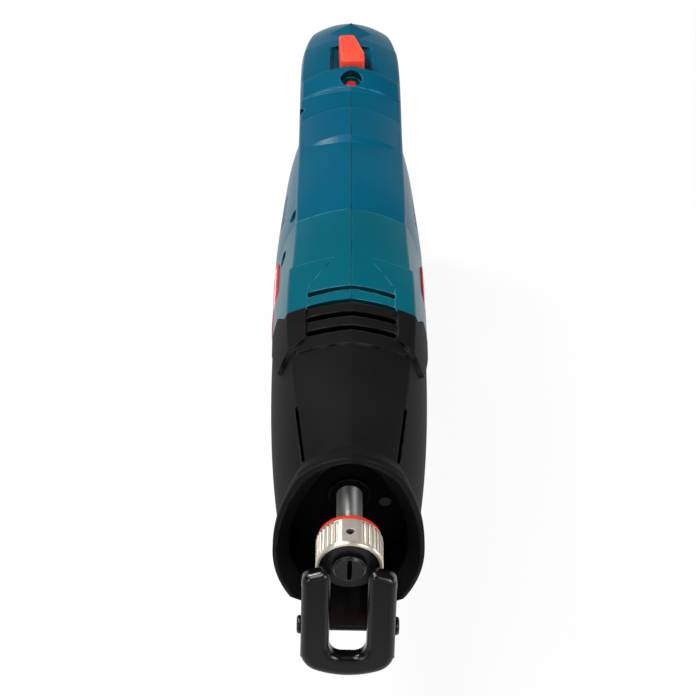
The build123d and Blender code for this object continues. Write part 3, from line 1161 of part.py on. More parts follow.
def build():
    """Every piece by its node name, in the plunger's frame."""
    parts = {}
    names = ("chuck_core", "chuck_retainer", "chuck_sleeve", "chuck_ring", "blade_lock_pin")
    parts.update(zip(names, chuck()))
    parts["plunger"] = plunger_bar()
    parts["wobble_shaft"], parts["wobble_ring"], parts["drive_gear"] = wobble()
    parts["gear_case"] = gear_case()
    parts["bearing_plate"], parts["gear_case_screws"] = bearing_plate()
    r = PLUNGER_D / 2
    parts["front_bush"] = tube_y(r + BUSH_WALL, r + RUN, CASE_FRONT + TOUCH, CASE_FRONT + CASE_FRONT_T)
    parts["rear_bush"] = tube_y(r + BUSH_WALL, r + RUN, BULKHEAD_Y, BULKHEAD_Y + BULKHEAD_T)
    parts["plunger_seal"] = tube_y(r + 2 * BUSH_WALL, r + 2 * RUN, CASE_FRONT - SEAL_T, CASE_FRONT - TOUCH)
    bearing_r = WOBBLE_BEARING_D / 2
    shaft_r = WOBBLE_SHAFT_D / 2 + RUN
    seat = BEARING_SEAT + 2 * RUN
    y1 = BULKHEAD_Y + BULKHEAD_T - 0.5
    parts["wobble_front_bearing"] = bearing(bearing_r, shaft_r, BULKHEAD_Y + seat, y1, -HUB_DROP)
    y1 = PLATE_Y + PLATE_T - seat
    parts["wobble_rear_bearing"] = bearing(bearing_r, shaft_r, PLATE_Y + 0.5, y1, -HUB_DROP)
    light_y = CASE_FRONT + LIGHT_L - TOUCH
    parts["work_light"] = cyl_y(LIGHT_D / 2, CASE_FRONT - 0.8, light_y, LIGHT_X, LIGHT_Z)
    parts.update(motor())
    parts["shoe"], parts["shoe_rivets"], parts["shoe_bracket"], parts["bracket_clamp_screw"] = shoe_parts()
    boot, front_left, front_right, badges, front_screws = front_shells()
    parts["front_boot"] = boot
    parts["front_housing_left"] = front_left
    parts["front_housing_right"] = front_right
    parts["side_badges"] = badges
    rear_halves, handle_halves, pad, lens, rear_screws = rear_shells()
    parts["rear_housing_left"], parts["rear_housing_right"] = rear_halves
    parts["handle_left"], parts["handle_right"] = handle_halves
    parts["grip_pad"] = pad
    parts["status_lens"] = lens
    parts["housing_screws"] = Compound(front_screws + rear_screws)
    names = ("trigger", "switch_module", "trigger_spring", "lock_button", "selector_lever")
    parts.update(zip(names, controls()))
    names = ("battery_case", "battery_base", "battery_cells", "battery_contacts", "battery_button_left",
             "battery_button_right", "terminal_block", "terminal_blades")
    parts.update(zip(names, battery()))
    parts["control_module"] = fillet(control_box().edges(), 1.5)
    return parts


def main():
    os.makedirs("parts", exist_ok=True)
    to_base = Location((0, -BATTERY_MID, -BATTERY_BOTTOM))
    for name, shape in build().items():
        placed = shape.moved(to_base)
        export_step(placed, f"parts/{name}.step")
        box = placed.bounding_box()
        low = [round(v, 1) for v in box.min]
        high = [round(v, 1) for v in box.max]
        print(name, len(placed.solids()), "solids", round(placed.volume), "mm3 from", low, "to", high)


if __name__ == "__main__":
    main()
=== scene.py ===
from math import cos, pi, radians, sin

import bmesh
import bpy
from mathutils import Matrix, Vector


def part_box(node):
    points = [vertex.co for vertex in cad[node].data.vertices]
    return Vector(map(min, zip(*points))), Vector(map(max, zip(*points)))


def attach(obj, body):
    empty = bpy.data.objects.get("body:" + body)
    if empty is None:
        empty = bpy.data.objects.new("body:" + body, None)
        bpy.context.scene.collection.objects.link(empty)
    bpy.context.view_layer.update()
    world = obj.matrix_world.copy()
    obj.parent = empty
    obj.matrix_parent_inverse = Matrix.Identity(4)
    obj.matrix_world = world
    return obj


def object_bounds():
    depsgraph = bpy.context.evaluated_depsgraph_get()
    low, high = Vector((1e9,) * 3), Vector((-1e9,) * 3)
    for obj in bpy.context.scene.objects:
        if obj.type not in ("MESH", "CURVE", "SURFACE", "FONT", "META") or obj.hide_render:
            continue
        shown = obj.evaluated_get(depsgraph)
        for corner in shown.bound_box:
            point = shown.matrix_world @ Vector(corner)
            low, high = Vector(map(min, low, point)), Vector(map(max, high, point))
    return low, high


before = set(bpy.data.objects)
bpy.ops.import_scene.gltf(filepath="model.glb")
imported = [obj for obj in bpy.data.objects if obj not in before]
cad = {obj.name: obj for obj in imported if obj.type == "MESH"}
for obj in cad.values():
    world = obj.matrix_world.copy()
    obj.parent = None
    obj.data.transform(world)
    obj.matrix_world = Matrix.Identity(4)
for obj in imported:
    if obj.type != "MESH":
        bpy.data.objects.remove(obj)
cad_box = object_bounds()

# Studio
# A white sheet of card under the saw and a dark ceiling over it. The key lamp is on the left, a strip lamp is
# overhead, and three more stand in front and on the right. The camera is in front, a little to the left.
aim = Vector((-0.0007, -0.211, 0.1566))
camera_distance = 1.1685
camera_pitch = radians(39.87)
camera_side = radians(1.2)
camera_roll = radians(1.87)
scene = bpy.context.scene
sight = Matrix.Rotation(-camera_side, 4, "Z") @ Matrix.Rotation(pi / 2 - camera_pitch, 4, "X")
camera = bpy.data.objects.new("camera", bpy.data.cameras.new("camera"))
camera.data.lens = 115.4
camera.data.sensor_width = 36.0
camera.location = aim + sight.to_3x3() @ Vector((0.0, 0.0, camera_distance))
camera.rotation_euler = (sight @ Matrix.Rotation(camera_roll, 4, "Z")).to_euler()
scene.collection.objects.link(camera)
scene.camera = camera
scene.view_settings.view_transform = "Standard"


def feed(tree, socket, value):
    """Sets a socket to a plain value, or links it to the output of another node."""
    if isinstance(value, bpy.types.NodeSocket):
        tree.links.new(value, socket)
    else:
        socket.default_value = value


def maths(tree, operation, *values):
    """The result of a Math node."""
    node = tree.nodes.new("ShaderNodeMath")
    node.operation = operation
    for socket, value in zip(node.inputs, values):
        feed(tree, socket, value)
    return node.outputs[0]


def mapped(tree, value, from_min, from_max, to_min=0.0, to_max=1.0):
    """A value carried over from one range to another and held at its ends."""
    node = tree.nodes.new("ShaderNodeMapRange")
    feed(tree, node.inputs["Value"], value)
    feed(tree, node.inputs["From Min"], from_min)
    feed(tree, node.inputs["From Max"], from_max)
    feed(tree, node.inputs["To Min"], to_min)
    feed(tree, node.inputs["To Max"], to_max)
    return node.outputs["Result"]


def axes(tree, space="Object"):
    """The X, Y and Z of the point that is shaded."""
    place = tree.nodes.new("ShaderNodeTexCoord")
    parts = tree.nodes.new("ShaderNodeSeparateXYZ")
    tree.links.new(place.outputs[space], parts.inputs[0])
    return parts.outputs


def seen_directly(tree):
    """A mask of 1 for what the camera, a gloss or a clear piece sees, and 0 for light that is cast."""
    path = tree.nodes.new("ShaderNodeLightPath").outputs
    direct = maths(tree, "MAXIMUM", path["Is Camera Ray"], path["Is Glossy Ray"])
    return maths(tree, "MAXIMUM", direct, path["Is Transmission Ray"])


ceiling_start = 0.08
ceiling_full = 0.3
ceiling_level = 0.1
sky_cast = 0.22
world = bpy.data.worlds.new("studio")
scene.world = world
world.use_nodes = True
sky = world.node_tree
sky_path = sky.nodes.new("ShaderNodeLightPath")
ceiling = mapped(sky, axes(sky, "Generated")["Z"], ceiling_start, ceiling_full, 1.0, ceiling_level)
backdrop = maths(sky, "MAXIMUM", ceiling, sky_path.outputs["Is Camera Ray"])
background = sky.nodes["Background"]
background.inputs["Color"].default_value = (1.0, 1.0, 1.0, 1.0)
feed(sky, background.inputs["Strength"], mapped(sky, seen_directly(sky), 0.0, 1.0, sky_cast, backdrop))


def soft_lamp(name, place, target, width, height, watts):
    """A rectangular lamp that faces its target."""
    lamp = bpy.data.lights.new(name, "AREA")
    lamp.shape = "RECTANGLE"
    lamp.size = width
    lamp.size_y = height
    lamp.energy = watts
    holder = bpy.data.objects.new(name, lamp)
    holder.location = place
    holder.rotation_euler = (Vector(target) - Vector(place)).to_track_quat("-Z", "Y").to_euler()
    scene.collection.objects.link(holder)


top_aim = (0.0, -0.15, 0.15)
bell_aim = (0.0, -0.36, 0.14)
flank_aim = (0.0, -0.2, 0.14)
soft_lamp("key_lamp", (-0.72, 0.13, 1.3), top_aim, width=0.24, height=0.36, watts=16.0)
soft_lamp("strip_lamp", (-0.36, -0.72, 1.4), top_aim, width=0.26, height=0.7, watts=11.0)
soft_lamp("front_left_lamp", (-0.75, -1.5, 0.75), bell_aim, width=0.2, height=0.5, watts=4.0)
soft_lamp("front_right_lamp", (0.8, -1.3, 0.95), bell_aim, width=0.5, height=0.6, watts=11.0)
soft_lamp("side_lamp", (1.3, -0.05, 0.27), flank_aim, width=0.8, height=0.4, watts=4.0)

floor_half = 6.0
floor_gap = 0.0008
floor_mesh = bpy.data.meshes.new("floor")
floor_shape = bmesh.new()
bmesh.ops.create_grid(floor_shape, x_segments=1, y_segments=1, size=floor_half)
floor_shape.to_mesh(floor_mesh)
floor_shape.free()
floor = bpy.data.objects.new("floor", floor_mesh)
floor.location = (0.0, 0.0, cad_box[0].z - floor_gap)
scene.collection.objects.link(floor)

card_white_share = 0.92
flag_near = -0.8  # a black flag in front of the saw, which only glosses see
flag_far = -0.45
flag_shade = -0.75
card = bpy.data.materials.new("white_card")
card.use_nodes = True
card_tree = card.node_tree
card_tree.nodes.remove(card_tree.nodes["Principled BSDF"])
card_path = card_tree.nodes.new("ShaderNodeLightPath")
card_matt = card_tree.nodes.new("ShaderNodeBsdfDiffuse")
card_matt.inputs["Color"].default_value = (0.86, 0.86, 0.86, 1.0)
card_glow = card_tree.nodes.new("ShaderNodeEmission")
flag = mapped(card_tree, axes(card_tree)["Y"], flag_near, flag_far, flag_shade, 0.0)
card_level = maths(card_tree, "MULTIPLY_ADD", card_path.outputs["Is Glossy Ray"], flag, 1.0)
feed(card_tree, card_glow.inputs["Strength"], card_level)
card_mix = card_tree.nodes.new("ShaderNodeMixShader")
card_seen = maths(card_tree, "MULTIPLY", seen_directly(card_tree), card_white_share)
feed(card_tree, card_mix.inputs["Fac"], card_seen)
feed(card_tree, card_mix.inputs[1], card_matt.outputs[0])
feed(card_tree, card_mix.inputs[2], card_glow.outputs[0])
feed(card_tree, card_tree.nodes["Material Output"].inputs["Surface"], card_mix.outputs[0])
floor_mesh.materials.append(card)

# Gear case and bearing plate
# The case is die cast in aluminium and painted black, and painted shade darkens its hollows further, so that
# the bottom of the bell is dark. The plate that closes it is left bare and is held with four screws.


def effect(name, inputs, outputs):
    """A node group with named sockets, and the sockets that its own nodes are joined to."""
    group = bpy.data.node_groups.new(name, "ShaderNodeTree")
    for way, sockets in (("INPUT", inputs), ("OUTPUT", outputs)):
        for socket, kind in sockets.items():
            group.interface.new_socket(socket, in_out=way, socket_type=kind)
    return group, group.nodes.new("NodeGroupInput").outputs, group.nodes.new("NodeGroupOutput").inputs


def noise(tree, place, scale, detail, roughness=0.5):
    """A cloudy value round one half."""
    node = tree.nodes.new("ShaderNodeTexNoise")
    feed(tree, node.inputs["Vector"], place)
    feed(tree, node.inputs["Scale"], scale)
    feed(tree, node.inputs["Detail"], detail)
    feed(tree, node.inputs["Roughness"], roughness)
    return node.outputs[0]


def vector_maths(tree, operation, *values):
    """The number that a Vector Math node gives."""
    node = tree.nodes.new("ShaderNodeVectorMath")
    node.operation = operation
    for socket, value in zip(node.inputs, values):
        feed(tree, socket, value)
    return node.outputs["Value"]


number = "NodeSocketFloat"
vector = "NodeSocketVector"
cloud_low = 0.3  # most of a noise lies between these
cloud_high = 0.7

# A moulded skin: a fine grain with pits, and slow clouds of tone.
pit_share = 0.6
skin_group, skin_in, skin_out = effect("moulded_skin", {"Scale": number}, {"Height": number, "Tone": number})
skin_place = skin_group.nodes.new("ShaderNodeTexCoord").outputs["Object"]
skin_grain = noise(skin_group, skin_place, skin_in["Scale"], detail=3.0, roughness=0.62)
skin_pits = skin_group.nodes.new("ShaderNodeTexVoronoi")
feed(skin_group, skin_pits.inputs["Vector"], skin_place)
feed(skin_group, skin_pits.inputs["Scale"], skin_in["Scale"])
skin_height = maths(skin_group, "MULTIPLY_ADD", skin_pits.outputs["Distance"], pit_share, skin_grain)
skin_cloud = noise(skin_group, skin_place, scale=22.0, detail=5.0)
feed(skin_group, skin_out["Height"], skin_height)
feed(skin_group, skin_out["Tone"], mapped(skin_group, skin_cloud, cloud_low, cloud_high))

# A rounded edge: a soft normal at corners, and a broken mask of where they are worn.
flat_cosine = 0.995
corner_cosine = 0.86
whole_patch = 0.38
worn_patch = 0.62
edge_group, edge_in, edge_out = effect("rounded_edge", {"Radius": number}, {"Normal": vector, "Wear": number})
edge_round = edge_group.nodes.new("ShaderNodeBevel")
edge_round.samples = 6
feed(edge_group, edge_round.inputs["Radius"], edge_in["Radius"])
edge_true = edge_group.nodes.new("ShaderNodeNewGeometry")
edge_cosine = vector_maths(edge_group, "DOT_PRODUCT", edge_round.outputs[0], edge_true.outputs["Normal"])
edge_bend = mapped(edge_group, edge_cosine, flat_cosine, corner_cosine)
edge_place = edge_group.nodes.new("ShaderNodeTexCoord").outputs["Object"]
edge_break = noise(edge_group, edge_place, scale=130.0, detail=6.0)
edge_patch = mapped(edge_group, edge_break, whole_patch, worn_patch)
feed(edge_group, edge_out["Normal"], edge_round.outputs[0])
feed(edge_group, edge_out["Wear"], maths(edge_group, "MULTIPLY", edge_bend, edge_patch))

# Painted hollow shade: a mask of 1 in the open and 0 far inside a groove or a bore, by which a finish is
# painted darker where shade falls.
hollow_closed = 0.4
hollow_open = 0.85
hollow_shade_group, hollow_shade_in, hollow_shade_out = effect("painted_hollow_shade", {"Reach": number}, {"Open": number})
hollow_shade_look = hollow_shade_group.nodes.new("ShaderNodeAmbientOcclusion")
hollow_shade_look.samples = 8
feed(hollow_shade_group, hollow_shade_look.inputs["Distance"], hollow_shade_in["Reach"])
painted_hollow_shade = mapped(hollow_shade_group, hollow_shade_look.outputs["AO"], hollow_closed, hollow_open)
feed(hollow_shade_group, hollow_shade_out["Open"], painted_hollow_shade)


def place_effect(tree, group, values):
    """Puts a node group into a material with the material's own values, and gives its outputs."""
    node = tree.nodes.new("ShaderNodeGroup")
    node.node_tree = group
    for socket, value in values.items():
        node.inputs[socket].default_value = value
    return node.outputs


mix_mask = 0  # where a Mix node has its sockets for colours
mix_under = 6
mix_over = 7
mix_result = 2


def tinted(tree, mask, under, over):
    """One colour laid over another by a mask."""
    node = tree.nodes.new("ShaderNodeMix")
    node.data_type = "RGBA"
    feed(tree, node.inputs[mix_mask], mask)
    feed(tree, node.inputs[mix_under], under)
    feed(tree, node.inputs[mix_over], over)
    return node.outputs[mix_result]


skin_relief = 0.0003


def coated(name, dark, light, worn, rough, grain, depth, radius, specular=0.5, metallic=0.0, swing=0.1,
           hollow_shade_level=1.0, reach=0.03):
    """A moulded, cast or painted finish: two tones, a fine skin, soft edges, worn corners, and painted shade
    in its hollows.
    """
    finish = bpy.data.materials.new(name)
    finish.use_nodes = True
    tree = finish.node_tree
    shader = tree.nodes["Principled BSDF"].inputs
    shader["Specular IOR Level"].default_value = specular
    shader["Metallic"].default_value = metallic
    skin = place_effect(tree, skin_group, {"Scale": grain})
    edge = place_effect(tree, edge_group, {"Radius": radius})
    tone = tinted(tree, skin["Tone"], (*dark, 1.0), (*light, 1.0))
    # Painted shade: in hollows the colour falls towards a darker copy of the dark tone.
    if hollow_shade_level < 1.0:
        hollow = place_effect(tree, hollow_shade_group, {"Reach": reach})
        tone = tinted(tree, hollow["Open"], (*(hollow_shade_level * level for level in dark), 1.0), tone)
    feed(tree, shader["Base Color"], tinted(tree, edge["Wear"], tone, (*worn, 1.0)))
    gloss = mapped(tree, skin["Height"], 0.0, 1.0, rough - swing / 2, rough + swing / 2)
    feed(tree, shader["Roughness"], gloss)
    bump = tree.nodes.new("ShaderNodeBump")
    bump.name = "relief"
    bump.inputs["Strength"].default_value = depth
    bump.inputs["Distance"].default_value = skin_relief
    feed(tree, bump.inputs["Height"], skin["Height"])
    feed(tree, bump.inputs["Normal"], edge["Normal"])
    feed(tree, shader["Normal"], bump.outputs["Normal"])
    return finish


def dress(finish, *names):
    """Gives a finish to CAD nodes."""
    for name in names:
        cad[name].data.materials.clear()
        cad[name].data.materials.append(finish)


# Painted shade: the black paint is darkened further in the hollows of the case.
case_paint = coated(
    "case_paint", dark=(0.003, 0.003, 0.003), light=(0.005, 0.005, 0.005), worn=(0.01, 0.01, 0.01),
    rough=0.55, grain=500.0, depth=0.5, radius=0.0008, specular=0.03, hollow_shade_level=0.05, reach=0.05,
)
cast_alloy = coated(
    "cast_alloy", dark=(0.3, 0.3, 0.31), light=(0.38, 0.38, 0.39), worn=(0.52, 0.52, 0.52),
    rough=0.5, grain=600.0, depth=0.4, radius=0.0006, metallic=1.0,
)
dress(case_paint, "gear_case")
dress(cast_alloy, "bearing_plate")

# Wobble drive, plunger and its bushes
# Shafts, ring, gear and plunger are turned and ground from steel, and the bushes are sintered bronze. The
# plunger is polished where it runs through the front bush and its seal.


def combined(tree, x, y):
    """A vector of two values."""
    node = tree.nodes.new("ShaderNodeCombineXYZ")
    feed(tree, node.inputs[0], x)
    feed(tree, node.inputs[1], y)
    return node.outputs[0]


# Turned lines: a noise that runs in rings round an axis along Y.
turned_group, turned_in, turned_out = effect(
    "turned_lines", {"Axis Height": number, "Scale": number}, {"Line": number},
)
turned_axes = axes(turned_group)
turned_rise = maths(turned_group, "SUBTRACT", turned_axes["Z"], turned_in["Axis Height"])
turned_radius = vector_maths(turned_group, "LENGTH", combined(turned_group, turned_axes["X"], turned_rise))
turned_flat = combined(turned_group, turned_radius, turned_axes["Y"])
feed(turned_group, turned_out["Line"], noise(turned_group, turned_flat, turned_in["Scale"], detail=4.0))


def turned(name, dark, light, rough, swing, axis, lines, depth, hollow_shade_level=1.0, metallic=1.0):
    """A bare turned metal: fine rings round the axis, which draw its highlights out along the axis."""
    finish = coated(name, dark, light, worn=light, rough=rough, grain=900.0, depth=depth, radius=0.0004,
                    metallic=metallic, hollow_shade_level=hollow_shade_level, reach=0.004)
    tree = finish.node_tree
    shader = tree.nodes["Principled BSDF"].inputs
    shader["Anisotropic"].default_value = 0.88
    shader["Anisotropic Rotation"].default_value = 0.25
    around = tree.nodes.new("ShaderNodeTangent")
    around.direction_type = "RADIAL"
    around.axis = "Y"
    feed(tree, shader["Tangent"], around.outputs[0])
    rings = place_effect(tree, turned_group, {"Axis Height": axis, "Scale": lines})
    gloss = mapped(tree, rings["Line"], cloud_low, cloud_high, rough - swing, rough + swing)
    feed(tree, shader["Roughness"], gloss)
    feed(tree, tree.nodes["relief"].inputs["Height"], rings["Line"])
    return finish


plunger_low, plunger_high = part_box("plunger")
shaft_low, shaft_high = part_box("wobble_shaft")
plunger_axis = (plunger_low.z + plunger_high.z) / 2
wobble_axis = (shaft_low.z + shaft_high.z) / 2
polished = turned(
    "polished_steel", dark=(0.7, 0.7, 0.69), light=(0.8, 0.8, 0.78), rough=0.42, swing=0.05,
    axis=plunger_axis, lines=2600.0, depth=0.03, metallic=0.95,
)
ground = turned(
    "ground_steel", dark=(0.42, 0.42, 0.43), light=(0.54, 0.54, 0.54), rough=0.3, swing=0.08,
    axis=wobble_axis, lines=1800.0, depth=0.15,
)
sintered = coated(
    "sintered_bronze", dark=(0.42, 0.27, 0.13), light=(0.54, 0.36, 0.18), worn=(0.66, 0.5, 0.3),
    rough=0.42, grain=900.0, depth=0.3, radius=0.0004, metallic=1.0,
)
dress(polished, "plunger")
dress(ground, "wobble_shaft", "wobble_ring", "drive_gear", "wobble_front_bearing", "wobble_rear_bearing")
dress(sintered, "front_bush", "rear_bush")

# Motor
# A brushed motor: rolled steel can with ferrite magnets, a laminated core wound with enamelled wire, a copper
# commutator, graphite brushes in a moulded end cap and a moulded fan. It drops into the housing as one unit.
can_low, can_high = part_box("motor_can")
motor_axis = (can_low.z + can_high.z) / 2
zinc_plate = coated(
    "zinc_plate", dark=(0.46, 0.46, 0.44), light=(0.56, 0.56, 0.53), worn=(0.66, 0.66, 0.64),
    rough=0.34, grain=260.0, depth=0.1, radius=0.0006, metallic=1.0,
)
ferrite = coated(
    "ferrite", dark=(0.018, 0.018, 0.019), light=(0.03, 0.03, 0.031), worn=(0.06, 0.06, 0.06),
    rough=0.6, grain=1400.0, depth=0.4, radius=0.0005,
)
laminations = turned(
    "laminations", dark=(0.2, 0.2, 0.21), light=(0.3, 0.3, 0.31), rough=0.42, swing=0.12,
    axis=motor_axis, lines=5200.0, depth=0.5,
)
enamel_wire = turned(
    "enamel_wire", dark=(0.42, 0.13, 0.04), light=(0.58, 0.2, 0.07), rough=0.28, swing=0.1,
    axis=motor_axis, lines=2400.0, depth=0.9,
)
commutator_copper = turned(
    "commutator_copper", dark=(0.6, 0.27, 0.13), light=(0.74, 0.36, 0.2), rough=0.25, swing=0.08,
    axis=motor_axis, lines=3400.0, depth=0.2,
)
graphite = coated(
    "graphite", dark=(0.012, 0.012, 0.012), light=(0.024, 0.024, 0.025), worn=(0.05, 0.05, 0.05),
    rough=0.5, grain=2000.0, depth=0.3, radius=0.0003,
)
motor_steel = turned(
    "motor_steel", dark=(0.44, 0.44, 0.45), light=(0.56, 0.56, 0.56), rough=0.26, swing=0.07,
    axis=motor_axis, lines=2200.0, depth=0.12,
)
filled_nylon = coated(
    "filled_nylon", dark=(0.009, 0.009, 0.0095), light=(0.015, 0.015, 0.0155),
    worn=(0.05, 0.05, 0.052), rough=0.48, grain=1300.0, depth=0.35, radius=0.0006, specular=0.35,
)
dress(zinc_plate, "motor_can")
dress(ferrite, "field_magnets")
dress(laminations, "armature_core")
dress(enamel_wire, "armature_windings")
dress(commutator_copper, "commutator")
dress(graphite, "carbon_brushes")
dress(motor_steel, "armature_shaft", "motor_pinion", "motor_front_bearing", "motor_rear_bearing",
      "gear_case_screws")
dress(filled_nylon, "motor_end_cap", "brush_holders", "cooling_fan")

# Switch, control module and terminals
# The switch and the control module are sealed black boxes that drop into webs of the housing. The terminal
# block is moulded in a dark grey resin, and its blades and the battery's contacts are stamped from brass.
potted = coated(
    "potted_module", dark=(0.011, 0.012, 0.014), light=(0.018, 0.019, 0.022),
    worn=(0.05, 0.05, 0.055), rough=0.38, grain=800.0, depth=0.2, radius=0.0008,
)
grey_resin = coated(
    "grey_resin", dark=(0.035, 0.036, 0.038), light=(0.05, 0.051, 0.053), worn=(0.1, 0.1, 0.1),
    rough=0.46, grain=1000.0, depth=0.25, radius=0.0005,
)
brass = coated(
    "stamped_brass", dark=(0.56, 0.4, 0.16), light=(0.68, 0.5, 0.22), worn=(0.78, 0.62, 0.35),
    rough=0.26, grain=700.0, depth=0.1, radius=0.0002, metallic=1.0,
)
dress(potted, "control_module", "switch_module")
dress(grey_resin, "terminal_block")
dress(brass, "terminal_blades", "battery_contacts")

# Rear housing and handle
# Clamshell halves round the motor, and behind them those of the D-handle with the battery foot. They are
# moulded in glass-filled nylon with a fine spark-eroded skin, and closed with screws from the left.


def overprint(finish, mask, colour):
    """Lays one more colour over a finish by a mask."""
    tree = finish.node_tree
    base = tree.nodes["Principled BSDF"].inputs["Base Color"]
    feed(tree, base, tinted(tree, mask, base.links[0].from_socket, (*colour, 1.0)))


seam_half = 0.0003
seam_core = 0.3  # share of the seam that is as dark as its middle


def seam_line(finish, colour):
    """Darkens a moulding along the centre plane, where its two halves meet."""
    tree = finish.node_tree
    away = maths(tree, "ABSOLUTE", axes(tree)["X"])
    overprint(finish, mapped(tree, away, seam_half, seam_half * seam_core), colour)


# Painted shade: the blue is painted darker in its recesses, where shade falls.
rear_blue = coated(
    "rear_blue", dark=(0.0, 0.063, 0.112), light=(0.0002, 0.074, 0.131), worn=(0.05, 0.24, 0.32),
    rough=0.27, grain=1500.0, depth=0.12, radius=0.0007, specular=0.09, hollow_shade_level=0.3, reach=0.012,
)
seam_line(rear_blue, (0.0, 0.012, 0.035))
dress(rear_blue, "rear_housing_left", "rear_housing_right", "handle_left", "handle_right")

# Status lens
# A clear red light guide pressed into the bottom of the round well, with a black nylon ring round it. The
# ring stands in for the shade in the gap of the hole round the lens: painted shade in the form of a dark
# piece.


def new_piece(name, points, faces, finish, body, smooth=True):
    """A mesh piece with a finish, which rides on a body."""
    mesh = bpy.data.meshes.new(name)
    mesh.from_pydata(points, [], faces)
    mesh.polygons.foreach_set("use_smooth", [smooth] * len(mesh.polygons))
    mesh.materials.append(finish)
    piece = bpy.data.objects.new(name, mesh)
    scene.collection.objects.link(piece)
    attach(piece, body)


def lathed(name, outline, place, finish, body, steps=48):
    """A ring turned about the local Z axis from a closed outline of (radius, height) points."""
    points = []
    faces = []
    rows = len(outline)
    for i in range(steps):
        angle = 2 * pi * i / steps
        for radius, height in outline:
            points.append(place @ Vector((radius * cos(angle), radius * sin(angle), height)))
        for j in range(rows):
            a = i * rows + j
            b = i * rows + (j + 1) % rows
            c = ((i + 1) % steps) * rows + (j + 1) % rows
            d = ((i + 1) % steps) * rows + j
            faces.append((a, b, c, d))
    new_piece(name, points, faces, finish, body)


lens_red = coated(
    "lens_red", dark=(0.42, 0.008, 0.006), light=(0.55, 0.012, 0.008), worn=(0.6, 0.05, 0.04),
    rough=0.1, grain=900.0, depth=0.02, radius=0.0004,
)
lens_shader = lens_red.node_tree.nodes["Principled BSDF"].inputs
lens_shader["Coat Weight"].default_value = 1.0
lens_shader["Coat Roughness"].default_value = 0.03
dress(lens_red, "status_lens")
lens_low, lens_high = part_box("status_lens")
lens_r = (lens_high.x - lens_low.x) / 2
lens_tilt = radians(13.5)
lens_top = Vector((0.0, lens_low.y + lens_r * cos(lens_tilt), lens_high.z - lens_r * sin(lens_tilt)))
lens_place = Matrix.Translation(lens_top) @ Matrix.Rotation(lens_tilt, 4, "X")
ring_in = lens_r + 0.0001
ring_out = lens_r + 0.0010
ring_foot = -0.0005
ring_shoulder = -0.0002
ring_chamfer = 0.0003
ring_lip = -0.0001
ring_outline = [
    (ring_in, ring_foot), (ring_out, ring_foot), (ring_out, ring_shoulder), (ring_out - ring_chamfer, 0.0),
    (ring_in, ring_lip),
]
# Painted shade: a black ring that fills the dark gap round the lens.
lathed("lens_shade_ring", ring_outline, lens_place, filled_nylon, "housing")

# Selector lever
# A gloss acetal lever on a pin in the top of the handle, serrated on its left flank for the thumb.
signal_red = coated(
    "signal_red", dark=(0.68, 0.042, 0.018), light=(0.76, 0.056, 0.025), worn=(0.98, 0.17, 0.11),
    rough=0.36, grain=1600.0, depth=0.12, radius=0.0008, specular=0.4,
)
dress(signal_red, "selector_lever")

# Trigger, its spring and the lock button
# The trigger and the lock button are black nylon. The spring is bare music wire.
trigger_black = coated(
    "trigger_black", dark=(0.008, 0.008, 0.0085), light=(0.013, 0.013, 0.0135),
    worn=(0.045, 0.045, 0.047), rough=0.4, grain=1000.0, depth=0.4, radius=0.0008, specular=0.4,
)
spring_wire = coated(
    "spring_wire", dark=(0.4, 0.4, 0.4), light=(0.52, 0.52, 0.52), worn=(0.6, 0.6, 0.6),
    rough=0.25, grain=1200.0, depth=0.1, radius=0.0002, metallic=1.0,
)
dress(trigger_black, "trigger", "lock_button")
dress(spring_wire, "trigger_spring")

# Grip pad
# A soft pad moulded into the back of the grip, with level ribs that stand a little proud of it.
pad_rubber = coated(
    "pad_rubber", dark=(0.009, 0.009, 0.009), light=(0.015, 0.015, 0.015), worn=(0.04, 0.04, 0.04),
    rough=0.62, grain=700.0, depth=0.6, radius=0.0006, specular=0.25,
)
dress(pad_rubber, "grip_pad")
pad_low, pad_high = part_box("grip_pad")
pad_centre_y = pad_low.y + 0.004
rib_first = 0.006
rib_margin = 0.008
rib_pitch = 0.0052
rib_half = 0.0011
rib_rise = 0.0006
rib_sunk = 0.0001
rib_from = 0.12  # half turns from the right side of the grip
rib_sweep = 0.76
rib_steps = 28
rib_sides = 5
rib_end_share = 0.35
rib_end_steps = 3
probe_start = 0.1
rib_points = []
rib_faces = []
rib_count = int((pad_high.z - pad_low.z - rib_margin) / rib_pitch)
for row in range(rib_count):
    level = pad_low.z + rib_first + row * rib_pitch
    spine = []
    for i in range(rib_steps + 1):
        angle = pi * (rib_from + rib_sweep * i / rib_steps)
        out = Vector((cos(angle), sin(angle), 0.0))
        start = Vector((0.0, pad_centre_y, level)) + out * probe_start
        hit, place, normal, face = cad["grip_pad"].ray_cast(start, -out)
        if hit:
            spine.append((place, normal))
    first = len(rib_points)
    last = len(spine) - 1
    for i, (place, normal) in enumerate(spine):
        share = min(1.0, rib_end_share + i / rib_end_steps, rib_end_share + (last - i) / rib_end_steps)
        for j in range(rib_sides):
            around = pi * j / (rib_sides - 1)
            rise = normal * (sin(around) * rib_rise * share - rib_sunk)
            rib_points.append(place + rise + Vector((0.0, 0.0, cos(around) * rib_half * share)))
    for i in range(last):
        for j in range(rib_sides - 1):
            a = first + i * rib_sides + j
            rib_faces.append((a, a + 1, a + rib_sides + 1, a + rib_sides))
new_piece("grip_ribs", rib_points, rib_faces, pad_rubber, "housing")

# Front housing
# The clamshell round the fan and the front of the motor, moulded in the same nylon, with low ears on both
# shoulders. Its finish is a greener copy of the rear blue, painted light that stands for the different way
# light falls on the front housing, and it is painted darker in its hollows as painted shade.
front_lit_blue = coated(
    "front_lit_blue", dark=(0.0, 0.071, 0.101), light=(0.0003, 0.082, 0.116),
    worn=(0.06, 0.26, 0.31), rough=0.27, grain=1500.0, depth=0.12, radius=0.0007, specular=0.09,
    hollow_shade_level=0.3, reach=0.012,
)
seam_line(front_lit_blue, (0.0, 0.03, 0.05))
dress(front_lit_blue, "front_housing_left", "front_housing_right")

